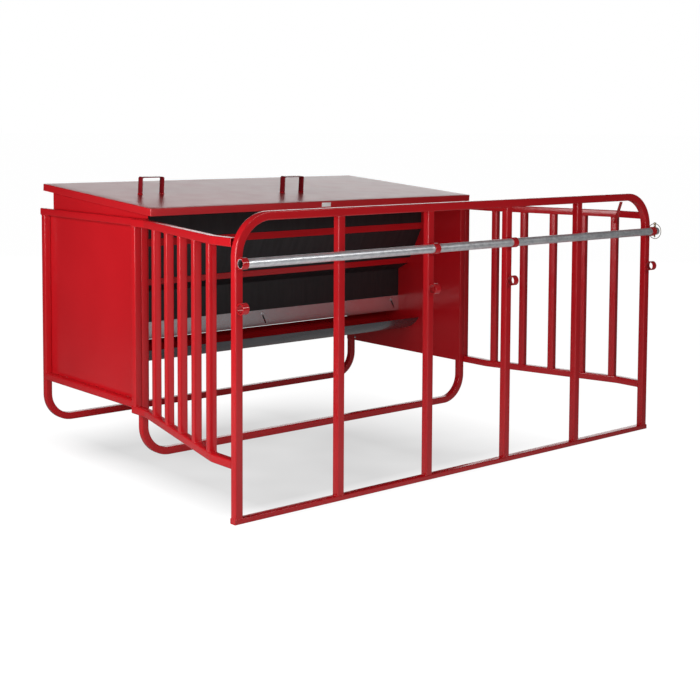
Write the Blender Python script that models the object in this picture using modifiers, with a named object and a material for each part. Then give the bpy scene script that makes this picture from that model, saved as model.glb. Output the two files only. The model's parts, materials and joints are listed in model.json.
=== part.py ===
"""Single-sided livestock creep feeder with a fixed creep pen in front of it.

A hopper on two bent-tube skids feeds a round-bottomed trough through a gap that a
slotted slide sets. A hinged lid covers the hopper. Two flared side gates and a
front gate of square tube let young animals in, under a bar that sits in rings at
one of two heights.

Design axes: X along the gate, Y from the gate back to the hopper, Z up. Every
dimension below is in metres, measured from the left end of the front gate, from
its front face and from the ground. One empty, feeder_origin, then moves the
whole feeder so that the middle of its footprint is at the world's origin.
"""
import math

import bmesh
import bpy
from mathutils import Matrix, Vector

# Running clearance left between pieces that touch on the real feeder.
GAP = 0.0003

# Square tube that the frames are made of.
TUBE = 0.040
TUBE_WALL = 0.003
TUBE_CORNER = 0.005
CORNER_STEPS = 2
BEND_STEPS = 6

# Front gate.
GATE_WIDTH = 2.922
GATE_HEIGHT = 1.380
GATE_BEND = 0.175
SILL_HEIGHT = 0.025
SILL_LEFT = -0.002
SILL_RIGHT = GATE_WIDTH + 0.006
UPRIGHT_X = (0.602, 1.175, 1.736, 2.297)

# Rings and the bar that lies in them.
RING_OUTER = 0.052
RING_BORE = 0.0446
RING_LENGTH = 0.034
RING_LEVELS = {"upper": 1.159, "lower": 0.961}
BAR_DIAMETER = 0.0424
BAR_WALL = 0.0032
BAR_LEFT = 0.006
BAR_RIGHT = 2.9480
ROUND_SIDES = 24

# Lock pin through the bar's right end, and the spring ring that swings on its head.
PIN_X = 2.930
PIN_RADIUS = 0.0045
PIN_TIP = 0.036
PIN_HEAD_RADIUS = 0.008
PIN_HEAD_TOP = 0.050
LOCK_RING_RADIUS = 0.043
LOCK_RING_WIRE = 0.002
LOCK_RING_HOLE = 0.0029
LOCK_RING_STEPS = 40

# Side gates.
FLARE = 0.2508
FLARE_FRONT_Y = 0.194
FLARE_BEND = 0.120
GATE_SILL_Z = 0.2639
GATE_HEAD_Z = 1.2475
BAR_FIRST_Y = 0.2315
BAR_PITCH = 0.194
BAR_COUNT = 5

# Hopper frame.
FRAME_LEFT = 0.2806
FRAME_RIGHT = 2.6664
FRONT_LEG_Y = 1.264
REAR_LEG_Y = 2.339
SKID_BEND = 0.150
END_RAIL_TOP = 1.2667
END_RAIL_BOTTOM = 0.257
END_RAIL_OVERHANG = 0.010

# Hopper sheets.
PANEL = 0.003
SHEET = 0.002
BACK_Y = 2.280
BACK_FOLD_Z = 0.800
BACK_FOOT = (1.976, 0.502)
FACE_Y = 1.606
FACE_FOLD_Z = 1.083
BROW_FOLD = (1.730, 0.850)
THROAT_Y = 1.825
THROAT_TOP_Z = 0.800
THROAT_BOTTOM_Z = 0.560
STRIP_WIDTH = 0.041
STRIP_THICKNESS = 0.004

# Feed slide with slanting slots.
SLIDE_THICKNESS = 0.003
SLIDE_BOTTOM = 0.523
SLIDE_TOP = 0.621
SLIDE_END_ROOM = 0.036
SLOT_ANGLE = math.radians(24.4)
SLOT_LENGTH = 0.060
SLOT_WIDTH = 0.010
BOLT_X = (0.420, 1.487, 2.555)
BOLT_Z = 0.596
BOLT_HEAD = 0.017
BOLT_HEAD_THICKNESS = 0.006
BOLT_SHANK = 0.008

# Trough.
TROUGH_LIP = (1.622, 0.4945)
TROUGH_DEPTH = 0.0875
TROUGH_WIDTH = 0.340
TROUGH_STEPS = 16

# Lid, its hinge and its handles. Lid places are along its slope from the hinge.
LID_LEFT = 0.2944
LID_RIGHT = 2.6300
LID_FRONT = (1.171, 1.3245)
LID_BACK = (2.3557, 1.4088)
LID_SHEET = 0.0025
LID_LIP = 0.040
HINGE_SETBACK = 0.024
HINGE_DROP = 0.047
HINGE_ROD = 0.012
HINGE_ROD_ENDS = (0.400, 2.540)
BRACKET_X = (0.620, 2.300)
BRACKET_WIDTH = 0.008
BRACKET_RADIUS = 0.014
EYE_RADIUS = 0.011
EYE_WIDTH = 0.040
EYE_TAB = 0.014
HANDLE_WIDTH = 0.146
HANDLE_HEIGHT = 0.097
HANDLE_BAR = 0.005
HANDLE_STRAP = 0.044
HANDLE_PLACES = {"left": (0.656, 1.760), "middle": (1.547, 1.610)}
PLATE_SIZE = (0.066, 0.001, 0.024)
PLATE_X = 1.463

# Corner brace between the front gate's head and the right side gate.
BRACE_TOP = (2.676, 0.020, GATE_HEIGHT - TUBE - 0.008)
BRACE_FOOT = (2.857, 0.206, 1.196)
BRACE_SECTION = (0.016, 0.006)

PLANE_TURN = {
    "XY": (0.0, 0.0, 0.0),
    "XZ": (math.pi / 2, 0.0, 0.0),
    "YZ": (math.pi / 2, 0.0, math.pi / 2),
}

LID_SLOPE = math.atan2(LID_BACK[1] - LID_FRONT[1], LID_BACK[0] - LID_FRONT[0])
LID_LENGTH = math.hypot(LID_BACK[1] - LID_FRONT[1], LID_BACK[0] - LID_FRONT[0])
HINGE_AXIS = (
    LID_BACK[0] - HINGE_SETBACK * math.cos(LID_SLOPE) + HINGE_DROP * math.sin(LID_SLOPE),
    LID_BACK[1] - HINGE_SETBACK * math.sin(LID_SLOPE) - HINGE_DROP * math.cos(LID_SLOPE),
)


def clear_scene():
    """Remove every object that Blender starts with."""
    for item in list(bpy.data.objects):
        bpy.data.objects.remove(item, do_unlink=True)


def paint(name, colour, roughness, metallic=0.0):
    """Make one Principled material."""
    material = bpy.data.materials.new(name)
    material.use_nodes = True
    shader = material.node_tree.nodes["Principled BSDF"]
    shader.inputs["Base Color"].default_value = (*colour, 1.0)
    shader.inputs["Roughness"].default_value = roughness
    shader.inputs["Metallic"].default_value = metallic
    return material


def origin_shift():
    """Vector from the design frame to the middle of the footprint."""
    left = SILL_LEFT
    right = BAR_RIGHT
    front = -ring_y() - LOCK_RING_RADIUS - LOCK_RING_WIRE
    back = REAR_LEG_Y + TUBE / 2 + END_RAIL_OVERHANG
    return Vector((-(left + right) / 2, -(front + back) / 2, 0.0))


def ring_y():
    """Distance of the ring and bar axis in front of the gate's face."""
    return RING_OUTER / 2 + GAP


def ring_x():
    """Middles of the four rings of one level, left to right."""
    return (TUBE / 2, UPRIGHT_X[1], UPRIGHT_X[2], GATE_WIDTH - TUBE / 2)


def circle(radius, centre=(0.0, 0.0), sides=ROUND_SIDES):
    """Points of a closed circle."""
    step = math.tau / sides
    return [
        (centre[0] + radius * math.cos(i * step), centre[1] + radius * math.sin(i * step))
        for i in range(sides)
    ]


def rounded_rectangle(width, height, radius, steps=CORNER_STEPS):
    """Points of a rectangle about the origin with round corners."""
    points = []
    for turn, (sx, sy) in enumerate(((1, 1), (-1, 1), (-1, -1), (1, -1))):
        centre = (sx * (width / 2 - radius), sy * (height / 2 - radius))
        for step in range(steps + 1):
            angle = math.pi / 2 * (turn + step / steps)
            points.append((centre[0] + radius * math.cos(angle), centre[1] + radius * math.sin(angle)))
    return points


def bent_path(corners, radius, steps=BEND_STEPS):
    """A path through the corners, with an arc of the given radius at each inner one."""
    path = [Vector(corners[0])]
    for before, corner, after in zip(corners, corners[1:], corners[2:]):
        corner = Vector(corner)
        inward = (Vector(before) - corner).normalized()
        onward = (Vector(after) - corner).normalized()
        turn = math.pi - inward.angle(onward)
        reach = radius * math.tan(turn / 2)
        centre = corner + (inward + onward).normalized() * math.hypot(reach, radius)
        start = corner + inward * reach - centre
        sign = 1.0 if inward.x * onward.y - inward.y * onward.x < 0 else -1.0
        for step in range(steps + 1):
            spin = Matrix.Rotation(sign * turn * step / steps, 2)
            path.append(centre + spin @ start)
    path.append(Vector(corners[-1]))
    return [tuple(point) for point in path]


class Workshop:
    """Makes the feeder's pieces, all placed under one empty."""

    def __init__(self):
        self.parts = bpy.data.collections.new("creep_feeder")
        self.guides = bpy.data.collections.new("guides")
        bpy.context.scene.collection.children.link(self.parts)
        bpy.context.scene.collection.children.link(self.guides)
        self.root = bpy.data.objects.new("feeder_origin", None)
        self.root.location = origin_shift()
        self.parts.objects.link(self.root)
        self.red = paint("red_paint", (0.52, 0.012, 0.018), 0.32)
        self.black = paint("black_sheet", (0.013, 0.013, 0.015), 0.55)
        self.zinc = paint("galvanised", (0.60, 0.62, 0.64), 0.34, 1.0)
        self.dark = paint("dark_gloss_steel", (0.050, 0.055, 0.065), 0.22, 0.6)
        self.brass = paint("yellow_passivated_steel", (0.42, 0.36, 0.24), 0.38, 1.0)
        self.white = paint("white_plate", (0.80, 0.80, 0.78), 0.5)
        self.square = self.profile("square_tube", rounded_rectangle(TUBE, TUBE, TUBE_CORNER))
        self.flat = self.profile("sill_tube", rounded_rectangle(TUBE, SILL_HEIGHT, TUBE_CORNER))

    def curve(self, name, splines, closed, flat=True):
        """A curve of straight segments in its own XY plane."""
        data = bpy.data.curves.new(name, "CURVE")
        data.dimensions = "2D" if flat else "3D"
        for points in splines:
            spline = data.splines.new("POLY")
            spline.points.add(len(points) - 1)
            for spot, point in zip(spline.points, points):
                spot.co = (point[0], point[1], point[2] if len(point) > 2 else 0.0, 1.0)
            spline.use_cyclic_u = closed
        return data

    def profile(self, name, outline):
        """A hidden outline that tubes are swept with."""
        guide = bpy.data.objects.new(name, self.curve(name, [outline], True))
        guide.hide_render = True
        guide.display_type = "WIRE"
        self.guides.objects.link(guide)
        return guide

    def place(self, name, data, material, location, turn=(0.0, 0.0, 0.0), parent=None):
        """Put a piece in the collection under its parent."""
        item = bpy.data.objects.new(name, data)
        item.parent = parent or self.root
        item.location = location
        item.rotation_euler = turn
        data.materials.append(material)
        self.parts.objects.link(item)
        return item

    def tube(self, name, path, plane, offset, profile=None, spin=0.0):
        """A hollow square tube along a path in a plane."""
        data = self.curve(name, [path], False)
        data.bevel_mode = "OBJECT"
        data.bevel_object = profile or self.square
        turn = PLANE_TURN[plane]
        item = self.place(name, data, self.red, offset, (turn[0], turn[1], turn[2] + spin))
        self.thicken(item, TUBE_WALL)
        return item

    def thicken(self, item, thickness, offset=1.0):
        """Give a sheet or a tube's skin its thickness, to the side that offset names."""
        shell = item.modifiers.new("wall", "SOLIDIFY")
        shell.thickness = thickness
        shell.offset = offset
        return shell

    def flat_piece(self, name, outlines, thickness, plane, offset, material=None, parent=None):
        """A flat piece cut to its outlines; outlines after the first are holes."""
        data = self.curve(name, outlines, True)
        data.fill_mode = "BOTH"
        data.extrude = thickness / 2
        return self.place(name, data, material or self.red, offset, PLANE_TURN[plane], parent)

    def folded_sheet(self, name, line, ends, thickness, material, offset=1.0):
        """A sheet folded along X to a line in the YZ plane."""
        data = self.curve(name, [line], False)
        data.extrude = (ends[1] - ends[0]) / 2
        item = self.place(name, data, material, ((ends[0] + ends[1]) / 2, 0.0, 0.0), PLANE_TURN["YZ"])
        self.thicken(item, thickness, offset)
        return item

    def round_bar(self, name, path, radius, material, parent=None, location=(0.0, 0.0, 0.0), sides=3):
        """A solid round bar or wire along a path."""
        data = self.curve(name, [path], False, flat=False)
        data.bevel_depth = radius
        data.bevel_resolution = sides
        data.use_fill_caps = True
        return self.place(name, data, material, location, parent=parent)

    def cylinder(self, name, radius, length, material, location, turn, parent=None):
        """A solid cylinder about its middle, along its own Z."""
        bpy.ops.mesh.primitive_cylinder_add(vertices=ROUND_SIDES, radius=radius, depth=length)
        solid = bpy.context.object
        data = solid.data
        bpy.data.objects.remove(solid, do_unlink=True)
        data.name = name
        return self.place(name, data, material, location, turn, parent)

    def cutter(self, name, radius, length, location, turn, parent):
        """A hidden cylinder that cuts its parent."""
        tool = self.cylinder(name, radius, length, self.zinc, location, turn, parent)
        self.parts.objects.unlink(tool)
        self.guides.objects.link(tool)
        tool.hide_render = True
        tool.display_type = "WIRE"
        return tool

    def cut(self, item, tool):
        """Take a cutter's shape away from a piece."""
        cut = item.modifiers.new(tool.name, "BOOLEAN")
        cut.operation = "DIFFERENCE"
        cut.solver = "EXACT"
        cut.object = tool

    def turned(self, name, profile, sides, material, location, turn=(0.0, 0.0, 0.0)):
        """A turned piece from (radius, height) pairs that start and end on its axis."""
        data = bpy.data.meshes.new(name)
        points = [(radius, 0.0, height) for radius, height in profile]
        data.from_pydata(points, [(i, i + 1) for i in range(len(points) - 1)], [])
        item = self.place(name, data, material, location, turn)
        lathe = item.modifiers.new("lathe", "SCREW")
        lathe.steps = sides
        lathe.render_steps = sides
        lathe.use_normal_flip = True
        lathe.use_merge_vertices = True
        lathe.merge_threshold = 0.0001
        return item

    def box(self, name, size, material, location, turn=(0.0, 0.0, 0.0), parent=None):
        """A plain block about its middle."""
        return self.place(name, block(name, size), material, location, turn, parent)


def block(name, size, open_below=False):
    """A block's mesh about its middle, with its lower face left out if it is open below."""
    work = bmesh.new()
    bmesh.ops.create_cube(work, size=1.0, matrix=Matrix.Diagonal((*size, 1.0)))
    if open_below:
        low = [face for face in work.faces if face.normal.z < -0.9]
        bmesh.ops.delete(work, geom=low, context="FACES_ONLY")
    data = bpy.data.meshes.new(name)
    work.to_mesh(data)
    work.free()
    return data


def lid_top(y):
    """Height of the lid's top face at a place from front to back."""
    return LID_FRONT[1] + (y - LID_FRONT[0]) * math.tan(LID_SLOPE)


def sheet_top(y):
    """Height where the hopper's sheets stop under the lid."""
    return lid_top(y) - LID_SHEET / math.cos(LID_SLOPE) - 2 * GAP


def make_front_gate(shop):
    """Hoop, sill and uprights of the gate that the animals walk through."""
    middle = TUBE / 2
    foot = SILL_HEIGHT + GAP
    head = GATE_HEIGHT - middle
    shop.tube("front_gate_sill", [(SILL_LEFT, middle), (SILL_RIGHT, middle)], "XY",
              (0.0, 0.0, SILL_HEIGHT / 2), shop.flat)
    corners = [(middle, foot), (middle, head), (GATE_WIDTH - middle, head), (GATE_WIDTH - middle, foot)]
    shop.tube("front_gate_hoop", bent_path(corners, GATE_BEND), "XZ", (0.0, middle, 0.0))
    for number, x in enumerate(UPRIGHT_X, start=1):
        shop.tube(f"front_upright_{number}", [(0.0, foot), (0.0, GATE_HEIGHT - TUBE - GAP)], "XZ",
                  (x, middle, 0.0))


def make_rings(shop):
    """Two levels of short tube rings welded to the front of the gate."""
    outlines = [circle(RING_OUTER / 2), circle(RING_BORE / 2)]
    for level, z in RING_LEVELS.items():
        for number, x in enumerate(ring_x(), start=1):
            shop.flat_piece(f"{level}_ring_{number}", outlines, RING_LENGTH, "YZ", (x, -ring_y(), z))


def make_bar(shop):
    """The loose pipe that young animals pass under, drilled for its lock pin."""
    z = RING_LEVELS["upper"]
    length = BAR_RIGHT - BAR_LEFT
    middle = (BAR_LEFT + BAR_RIGHT) / 2
    along = (0.0, math.pi / 2, 0.0)
    bar = shop.cylinder("adjustable_bar", BAR_DIAMETER / 2, length, shop.zinc, (middle, -ring_y(), z), along)
    bore = shop.cutter("bar_bore", BAR_DIAMETER / 2 - BAR_WALL, length + 0.02, (0.0, 0.0, 0.0), (0.0, 0.0, 0.0),
                       bar)
    hole = shop.cutter("bar_pin_hole", PIN_RADIUS + GAP, 0.08, (0.0, 0.0, PIN_X - middle), along, bar)
    shop.cut(bar, bore)
    shop.cut(bar, hole)


def make_lock_pin(shop):
    """Pin through the bar outside the last ring, with its spring ring closed round the bar."""
    z = RING_LEVELS["upper"]
    head_foot = BAR_DIAMETER / 2 + GAP
    profile = [(0.0, -PIN_TIP), (PIN_RADIUS - 0.002, -PIN_TIP), (PIN_RADIUS, 0.003 - PIN_TIP),
               (PIN_RADIUS, head_foot), (PIN_HEAD_RADIUS, head_foot), (PIN_HEAD_RADIUS, PIN_HEAD_TOP - 0.002),
               (PIN_HEAD_RADIUS - 0.002, PIN_HEAD_TOP), (0.0, PIN_HEAD_TOP)]
    pin = shop.turned("lock_pin", profile, 20, shop.brass, (PIN_X, -ring_y(), z))
    eye = shop.cutter("lock_ring_hole", LOCK_RING_HOLE, 0.03, (0.0, 0.0, LOCK_RING_RADIUS),
                      (math.pi / 2, 0.0, 0.0), pin)
    shop.cut(pin, eye)
    start = math.asin((PIN_HEAD_RADIUS - 0.005) / LOCK_RING_RADIUS)
    sweep = math.tau - 2 * start
    path = []
    for step in range(LOCK_RING_STEPS + 1):
        angle = start + sweep * step / LOCK_RING_STEPS
        path.append((0.0, LOCK_RING_RADIUS * math.sin(angle), LOCK_RING_RADIUS * (math.cos(angle) - 1.0)))
    shop.round_bar("lock_pin_ring", path, LOCK_RING_WIRE, shop.brass, None,
                   (PIN_X, -ring_y(), z + LOCK_RING_RADIUS), 2)


def make_side_gate(shop, side, stile_x, post_x):
    """One flared side gate: stile, two bent rails and five bars."""
    outward = math.copysign(1.0, post_x - stile_x)
    bend_y = FLARE_FRONT_Y + abs(post_x - stile_x) / FLARE
    rear_y = FRONT_LEG_Y + TUBE / 2
    corners = [(stile_x, rear_y), (stile_x, bend_y), (post_x, FLARE_FRONT_Y), (post_x, TUBE + GAP)]
    path = bent_path(corners, FLARE_BEND, 3)
    shop.tube(f"{side}_gate_bottom_rail", path, "XY", (0.0, 0.0, GATE_SILL_Z))
    shop.tube(f"{side}_gate_top_rail", path, "XY", (0.0, 0.0, GATE_HEAD_Z))
    foot = GATE_SILL_Z + TUBE / 2 + GAP
    head = GATE_HEAD_Z - TUBE / 2 - GAP
    upright = [(0.0, foot), (0.0, head)]
    shop.tube(f"{side}_gate_stile", upright, "XZ", (stile_x, FRONT_LEG_Y, 0.0))
    spin = outward * math.atan(FLARE)
    for number in range(BAR_COUNT):
        y = BAR_FIRST_Y + number * BAR_PITCH
        x = post_x - outward * (y - FLARE_FRONT_Y) * FLARE
        shop.tube(f"{side}_gate_bar_{number + 1}", upright, "XZ", (x, y, 0.0), spin=spin)


def make_brace(shop):
    """Flat bar from the front gate's head to the right gate's first bar."""
    top = Vector(BRACE_TOP)
    foot = Vector(BRACE_FOOT)
    along = top - foot
    turn = along.to_track_quat("Z", "Y").to_euler()
    shop.box("gate_corner_brace", (*BRACE_SECTION, along.length), shop.red, (top + foot) / 2, turn)


def make_hopper_frame(shop):
    """Two U-shaped skids joined at each end by a top and a bottom rail."""
    middle = TUBE / 2
    left = FRAME_LEFT + middle
    right = FRAME_RIGHT - middle
    leg_top = END_RAIL_TOP - TUBE - GAP
    corners = [(left, leg_top), (left, middle), (right, middle), (right, leg_top)]
    for name, y in (("front_skid_leg", FRONT_LEG_Y), ("rear_skid_leg", REAR_LEG_Y)):
        shop.tube(name, bent_path(corners, SKID_BEND), "XZ", (0.0, y, 0.0))
    front = FRONT_LEG_Y - middle
    rear = REAR_LEG_Y + middle
    top_line = [(0.0, front - END_RAIL_OVERHANG), (0.0, rear + END_RAIL_OVERHANG)]
    low_line = [(0.0, front + TUBE + GAP), (0.0, rear - TUBE - GAP)]
    for side, x in (("left", left), ("right", right)):
        shop.tube(f"{side}_end_top_rail", top_line, "XY", (x, 0.0, END_RAIL_TOP - middle))
        shop.tube(f"{side}_end_bottom_rail", low_line, "XY", (x, 0.0, END_RAIL_BOTTOM + middle))


def make_end_panels(shop):
    """The steel ends of the hopper, on the inner sides of the frame."""
    front = FRONT_LEG_Y - TUBE / 2 + SHEET
    rear = REAR_LEG_Y + TUBE / 2 - SHEET
    back = BACK_Y + PANEL
    low = END_RAIL_BOTTOM + 0.001
    waist = END_RAIL_TOP - 0.006
    outline = [(front, low), (rear, low), (rear, waist), (back, waist), (back, sheet_top(back)),
               (front, sheet_top(front))]
    inset = TUBE + GAP + PANEL / 2
    for side, x in (("left", FRAME_LEFT + inset), ("right", FRAME_RIGHT - inset)):
        shop.flat_piece(f"{side}_end_panel", [outline], PANEL, "YZ", (x, 0.0, 0.0))


def between_panels():
    """Left and right ends of the sheets that lie between the end panels."""
    inset = TUBE + PANEL + 2 * GAP
    return FRAME_LEFT + inset, FRAME_RIGHT - inset


def make_hopper_sheets(shop):
    """Back sheet, black front sheet and the two red strips across it."""
    ends = between_panels()
    shop.folded_sheet("hopper_back_sheet",
                      [(BACK_Y, sheet_top(BACK_Y)), (BACK_Y, BACK_FOLD_Z), BACK_FOOT],
                      ends, SHEET, shop.red, -1.0)
    shop.folded_sheet("hopper_front_sheet",
                      [(FACE_Y, sheet_top(FACE_Y)), (FACE_Y, FACE_FOLD_Z), BROW_FOLD,
                       (THROAT_Y, THROAT_TOP_Z), (THROAT_Y, THROAT_BOTTOM_Z)],
                      ends, SHEET, shop.black)
    slope = Vector((BROW_FOLD[0] - FACE_Y, BROW_FOLD[1] - FACE_FOLD_Z)).normalized()
    outward = Vector((slope.y, -slope.x))
    lift = outward * GAP
    face = -GAP
    shop.folded_sheet("upper_front_strip",
                      [(FACE_Y + face, FACE_FOLD_Z + STRIP_WIDTH), (FACE_Y + face, FACE_FOLD_Z)],
                      ends, STRIP_THICKNESS, shop.red, -1.0)
    low = Vector(BROW_FOLD) + lift
    high = low - slope * STRIP_WIDTH
    shop.folded_sheet("lower_front_strip", [tuple(high), tuple(low)], ends, STRIP_THICKNESS, shop.red, -1.0)


def slot_outline(x, z):
    """A slanting slot whose upper end is round the bolt at (x, z)."""
    radius = SLOT_WIDTH / 2
    along = Vector((math.sin(SLOT_ANGLE), -math.cos(SLOT_ANGLE)))
    across = Vector((math.cos(SLOT_ANGLE), math.sin(SLOT_ANGLE)))
    start = Vector((x, z))
    finish = start + along * SLOT_LENGTH
    points = []
    steps = 6
    for centre, sign in ((start, 1.0), (finish, -1.0)):
        for step in range(steps + 1):
            angle = math.pi * step / steps
            spoke = sign * (across * math.cos(angle) - along * math.sin(angle))
            points.append(tuple(centre + spoke * radius))
    return points


def make_feed_slide(shop):
    """Slotted slide on three bolts, which sets the gap that feed runs through."""
    left, right = between_panels()
    left += SLIDE_END_ROOM
    right -= GAP
    outer = [(left, SLIDE_BOTTOM), (right, SLIDE_BOTTOM), (right, SLIDE_TOP), (left, SLIDE_TOP)]
    y = THROAT_Y - GAP - SLIDE_THICKNESS / 2
    slots = [slot_outline(x, BOLT_Z) for x in BOLT_X]
    shop.flat_piece("feed_slide", [outer, *slots], SLIDE_THICKNESS, "XZ", (0.0, y, 0.0), shop.zinc)
    shank = SLIDE_THICKNESS + GAP
    profile = [(0.0, -shank), (BOLT_SHANK / 2, -shank), (BOLT_SHANK / 2, 0.0), (BOLT_HEAD / 2, 0.0),
               (BOLT_HEAD / 2, BOLT_HEAD_THICKNESS), (0.0, BOLT_HEAD_THICKNESS)]
    front = THROAT_Y - SLIDE_THICKNESS - 2 * GAP
    for number, x in enumerate(BOLT_X, start=1):
        shop.turned(f"slide_bolt_{number}", profile, 16, shop.zinc, (x, front, BOLT_Z), (math.pi / 2, 0.0, 0.0))


def make_trough(shop):
    """Round-bottomed trough between the end panels."""
    half = TROUGH_WIDTH / 2
    radius = (half ** 2 + TROUGH_DEPTH ** 2) / (2 * TROUGH_DEPTH)
    centre = (TROUGH_LIP[0] + half, TROUGH_LIP[1] - TROUGH_DEPTH + radius)
    reach = math.asin(half / radius)
    line = []
    for step in range(TROUGH_STEPS + 1):
        angle = -reach + 2 * reach * step / TROUGH_STEPS
        line.append((centre[0] + radius * math.sin(angle), centre[1] - radius * math.cos(angle)))
    shop.folded_sheet("feed_trough", line, between_panels(), SHEET, shop.dark)


def make_lid(shop):
    """Folded lid with turned-down lips, its handles, plate and hinge eyes."""
    width = LID_RIGHT - LID_LEFT
    middle = (LID_LEFT + LID_RIGHT) / 2
    front = HINGE_SETBACK - LID_LENGTH
    data = block("lid", (width, LID_LENGTH, LID_LIP), open_below=True)
    data.transform(Matrix.Translation((0.0, HINGE_SETBACK - LID_LENGTH / 2, HINGE_DROP - LID_LIP / 2)))
    lid = shop.place("lid", data, shop.red, (middle, *HINGE_AXIS), (LID_SLOPE, 0.0, 0.0))
    shop.thicken(lid, LID_SHEET, -1.0)
    for name, (x, y) in HANDLE_PLACES.items():
        along = (y - HINGE_AXIS[0]) / math.cos(LID_SLOPE)
        shop.flat_piece(f"{name}_lid_handle", [handle_outline()], HANDLE_STRAP, "XZ",
                        (x - middle, along, HINGE_DROP + GAP), parent=lid)
    shop.box("lid_plate", PLATE_SIZE, shop.white,
             (PLATE_X - middle, front - PLATE_SIZE[1] / 2 - GAP, HINGE_DROP - LID_LIP / 2), parent=lid)
    for number, x in enumerate(BRACKET_X, start=1):
        inward = 1.0 if x < middle else -1.0
        place = x + inward * (BRACKET_WIDTH / 2 + 0.002 + EYE_WIDTH / 2)
        shop.flat_piece(f"lid_hinge_eye_{number}", [eye_outline(), hinge_hole()], EYE_WIDTH, "YZ",
                        (place - middle, 0.0, 0.0), parent=lid)


def handle_outline():
    """A strap bent into a U that stands on its two ends."""
    half = HANDLE_WIDTH / 2
    bar = HANDLE_BAR
    bend = 0.010
    outer = bent_path([(-half, 0.0), (-half, HANDLE_HEIGHT), (half, HANDLE_HEIGHT), (half, 0.0)], bend, 4)
    top = HANDLE_HEIGHT - bar
    inner = bent_path([(half - bar, 0.0), (half - bar, top), (bar - half, top), (bar - half, 0.0)],
                      bend - bar, 4)
    return outer + inner


def hinge_hole():
    """Hole that the hinge rod runs in."""
    return circle(HINGE_ROD / 2 + GAP)


def eye_outline():
    """A hinge eye with a tab that meets the lid's sheet."""
    top = HINGE_DROP - LID_SHEET - GAP
    half = EYE_TAB / 2
    start = math.acos(half / EYE_RADIUS)
    steps = 18
    sweep = math.pi + 2 * start
    points = [(half, top), (-half, top)]
    for step in range(steps + 1):
        angle = math.pi - start + sweep * step / steps
        points.append((EYE_RADIUS * math.cos(angle), EYE_RADIUS * math.sin(angle)))
    return points


def make_lid_hinge(shop):
    """Rod along the back of the hopper and the two brackets that hold it."""
    ends = HINGE_ROD_ENDS
    rod_middle = (ends[0] + ends[1]) / 2
    shop.flat_piece("lid_hinge_rod", [circle(HINGE_ROD / 2)], ends[1] - ends[0], "YZ",
                    (rod_middle, *HINGE_AXIS), shop.zinc)
    reach = HINGE_AXIS[0] - BACK_Y - GAP
    low = 0.034
    nose = [(BRACKET_RADIUS * math.cos(a), BRACKET_RADIUS * math.sin(a))
            for a in (math.radians(-100 + 20 * i) for i in range(10))]
    outline = [(-reach, -low), *nose, (-reach, BRACKET_RADIUS)]
    for number, x in enumerate(BRACKET_X, start=1):
        shop.flat_piece(f"lid_hinge_bracket_{number}", [outline, hinge_hole()], BRACKET_WIDTH, "YZ",
                        (x, *HINGE_AXIS))


def build():
    """Model the whole feeder."""
    clear_scene()
    shop = Workshop()
    make_front_gate(shop)
    make_rings(shop)
    make_bar(shop)
    make_lock_pin(shop)
    make_side_gate(shop, "left", FRAME_LEFT - GAP - TUBE / 2, TUBE / 2)
    make_side_gate(shop, "right", FRAME_RIGHT + GAP + TUBE / 2, GATE_WIDTH - TUBE / 2)
    make_brace(shop)
    make_hopper_frame(shop)
    make_end_panels(shop)
    make_hopper_sheets(shop)
    make_feed_slide(shop)
    make_trough(shop)
    make_lid_hinge(shop)
    make_lid(shop)


build()
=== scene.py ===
"""Looks of a single-sided livestock creep feeder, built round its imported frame.

Painted square tube, folded sheet, galvanised fittings and weld beads are made here as
finished pieces. Each piece rides on a body of the frame and takes its place from the
frame's own boxes. The last class lights the feeder on a plain pale floor.
"""
from __future__ import annotations

import json
import logging
import math
from dataclasses import dataclass, field
from enum import Enum
from typing import Iterable, Sequence

import bmesh
import bpy
from mathutils import Matrix, Vector

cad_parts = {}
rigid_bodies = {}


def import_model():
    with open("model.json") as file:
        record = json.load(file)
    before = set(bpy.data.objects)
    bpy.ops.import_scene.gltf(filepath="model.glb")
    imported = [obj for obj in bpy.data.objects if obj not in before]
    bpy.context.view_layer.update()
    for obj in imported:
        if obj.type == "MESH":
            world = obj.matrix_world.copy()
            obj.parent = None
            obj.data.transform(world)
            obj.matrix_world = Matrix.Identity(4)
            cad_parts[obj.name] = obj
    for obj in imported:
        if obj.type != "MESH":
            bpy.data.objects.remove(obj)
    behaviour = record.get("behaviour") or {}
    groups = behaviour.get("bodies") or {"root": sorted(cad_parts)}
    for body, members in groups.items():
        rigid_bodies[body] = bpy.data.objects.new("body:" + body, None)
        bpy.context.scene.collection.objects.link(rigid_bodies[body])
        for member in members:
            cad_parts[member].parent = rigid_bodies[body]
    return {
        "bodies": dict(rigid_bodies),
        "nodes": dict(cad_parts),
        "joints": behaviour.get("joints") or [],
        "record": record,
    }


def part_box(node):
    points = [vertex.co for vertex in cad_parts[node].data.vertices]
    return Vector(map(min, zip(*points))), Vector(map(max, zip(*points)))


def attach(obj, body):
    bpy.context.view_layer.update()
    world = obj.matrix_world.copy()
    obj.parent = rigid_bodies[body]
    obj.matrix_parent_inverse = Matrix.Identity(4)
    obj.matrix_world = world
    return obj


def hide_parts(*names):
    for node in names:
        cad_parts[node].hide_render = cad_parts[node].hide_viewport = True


LOG = logging.getLogger("creep_feeder")

# The loaded frame's nodes by name.
FRAME: dict[str, bpy.types.Object] = {}

Point = tuple[float, float, float]
Colour = tuple[float, float, float]


class Body(Enum):
    """Bodies of the frame that pieces ride on."""

    FEEDER = "feeder"
    LID = "lid"
    BAR = "adjustable_bar"
    PIN = "lock_pin"
    PIN_RING = "lock_ring"


class Slot(Enum):
    """Finish slots of the record."""

    RED = "red_paint"
    BLACK = "black_sheet"
    ZINC = "galvanised"
    TROUGH = "dark_gloss_steel"
    YELLOW = "yellow_passivated_steel"
    WHITE = "white_plate"


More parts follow.
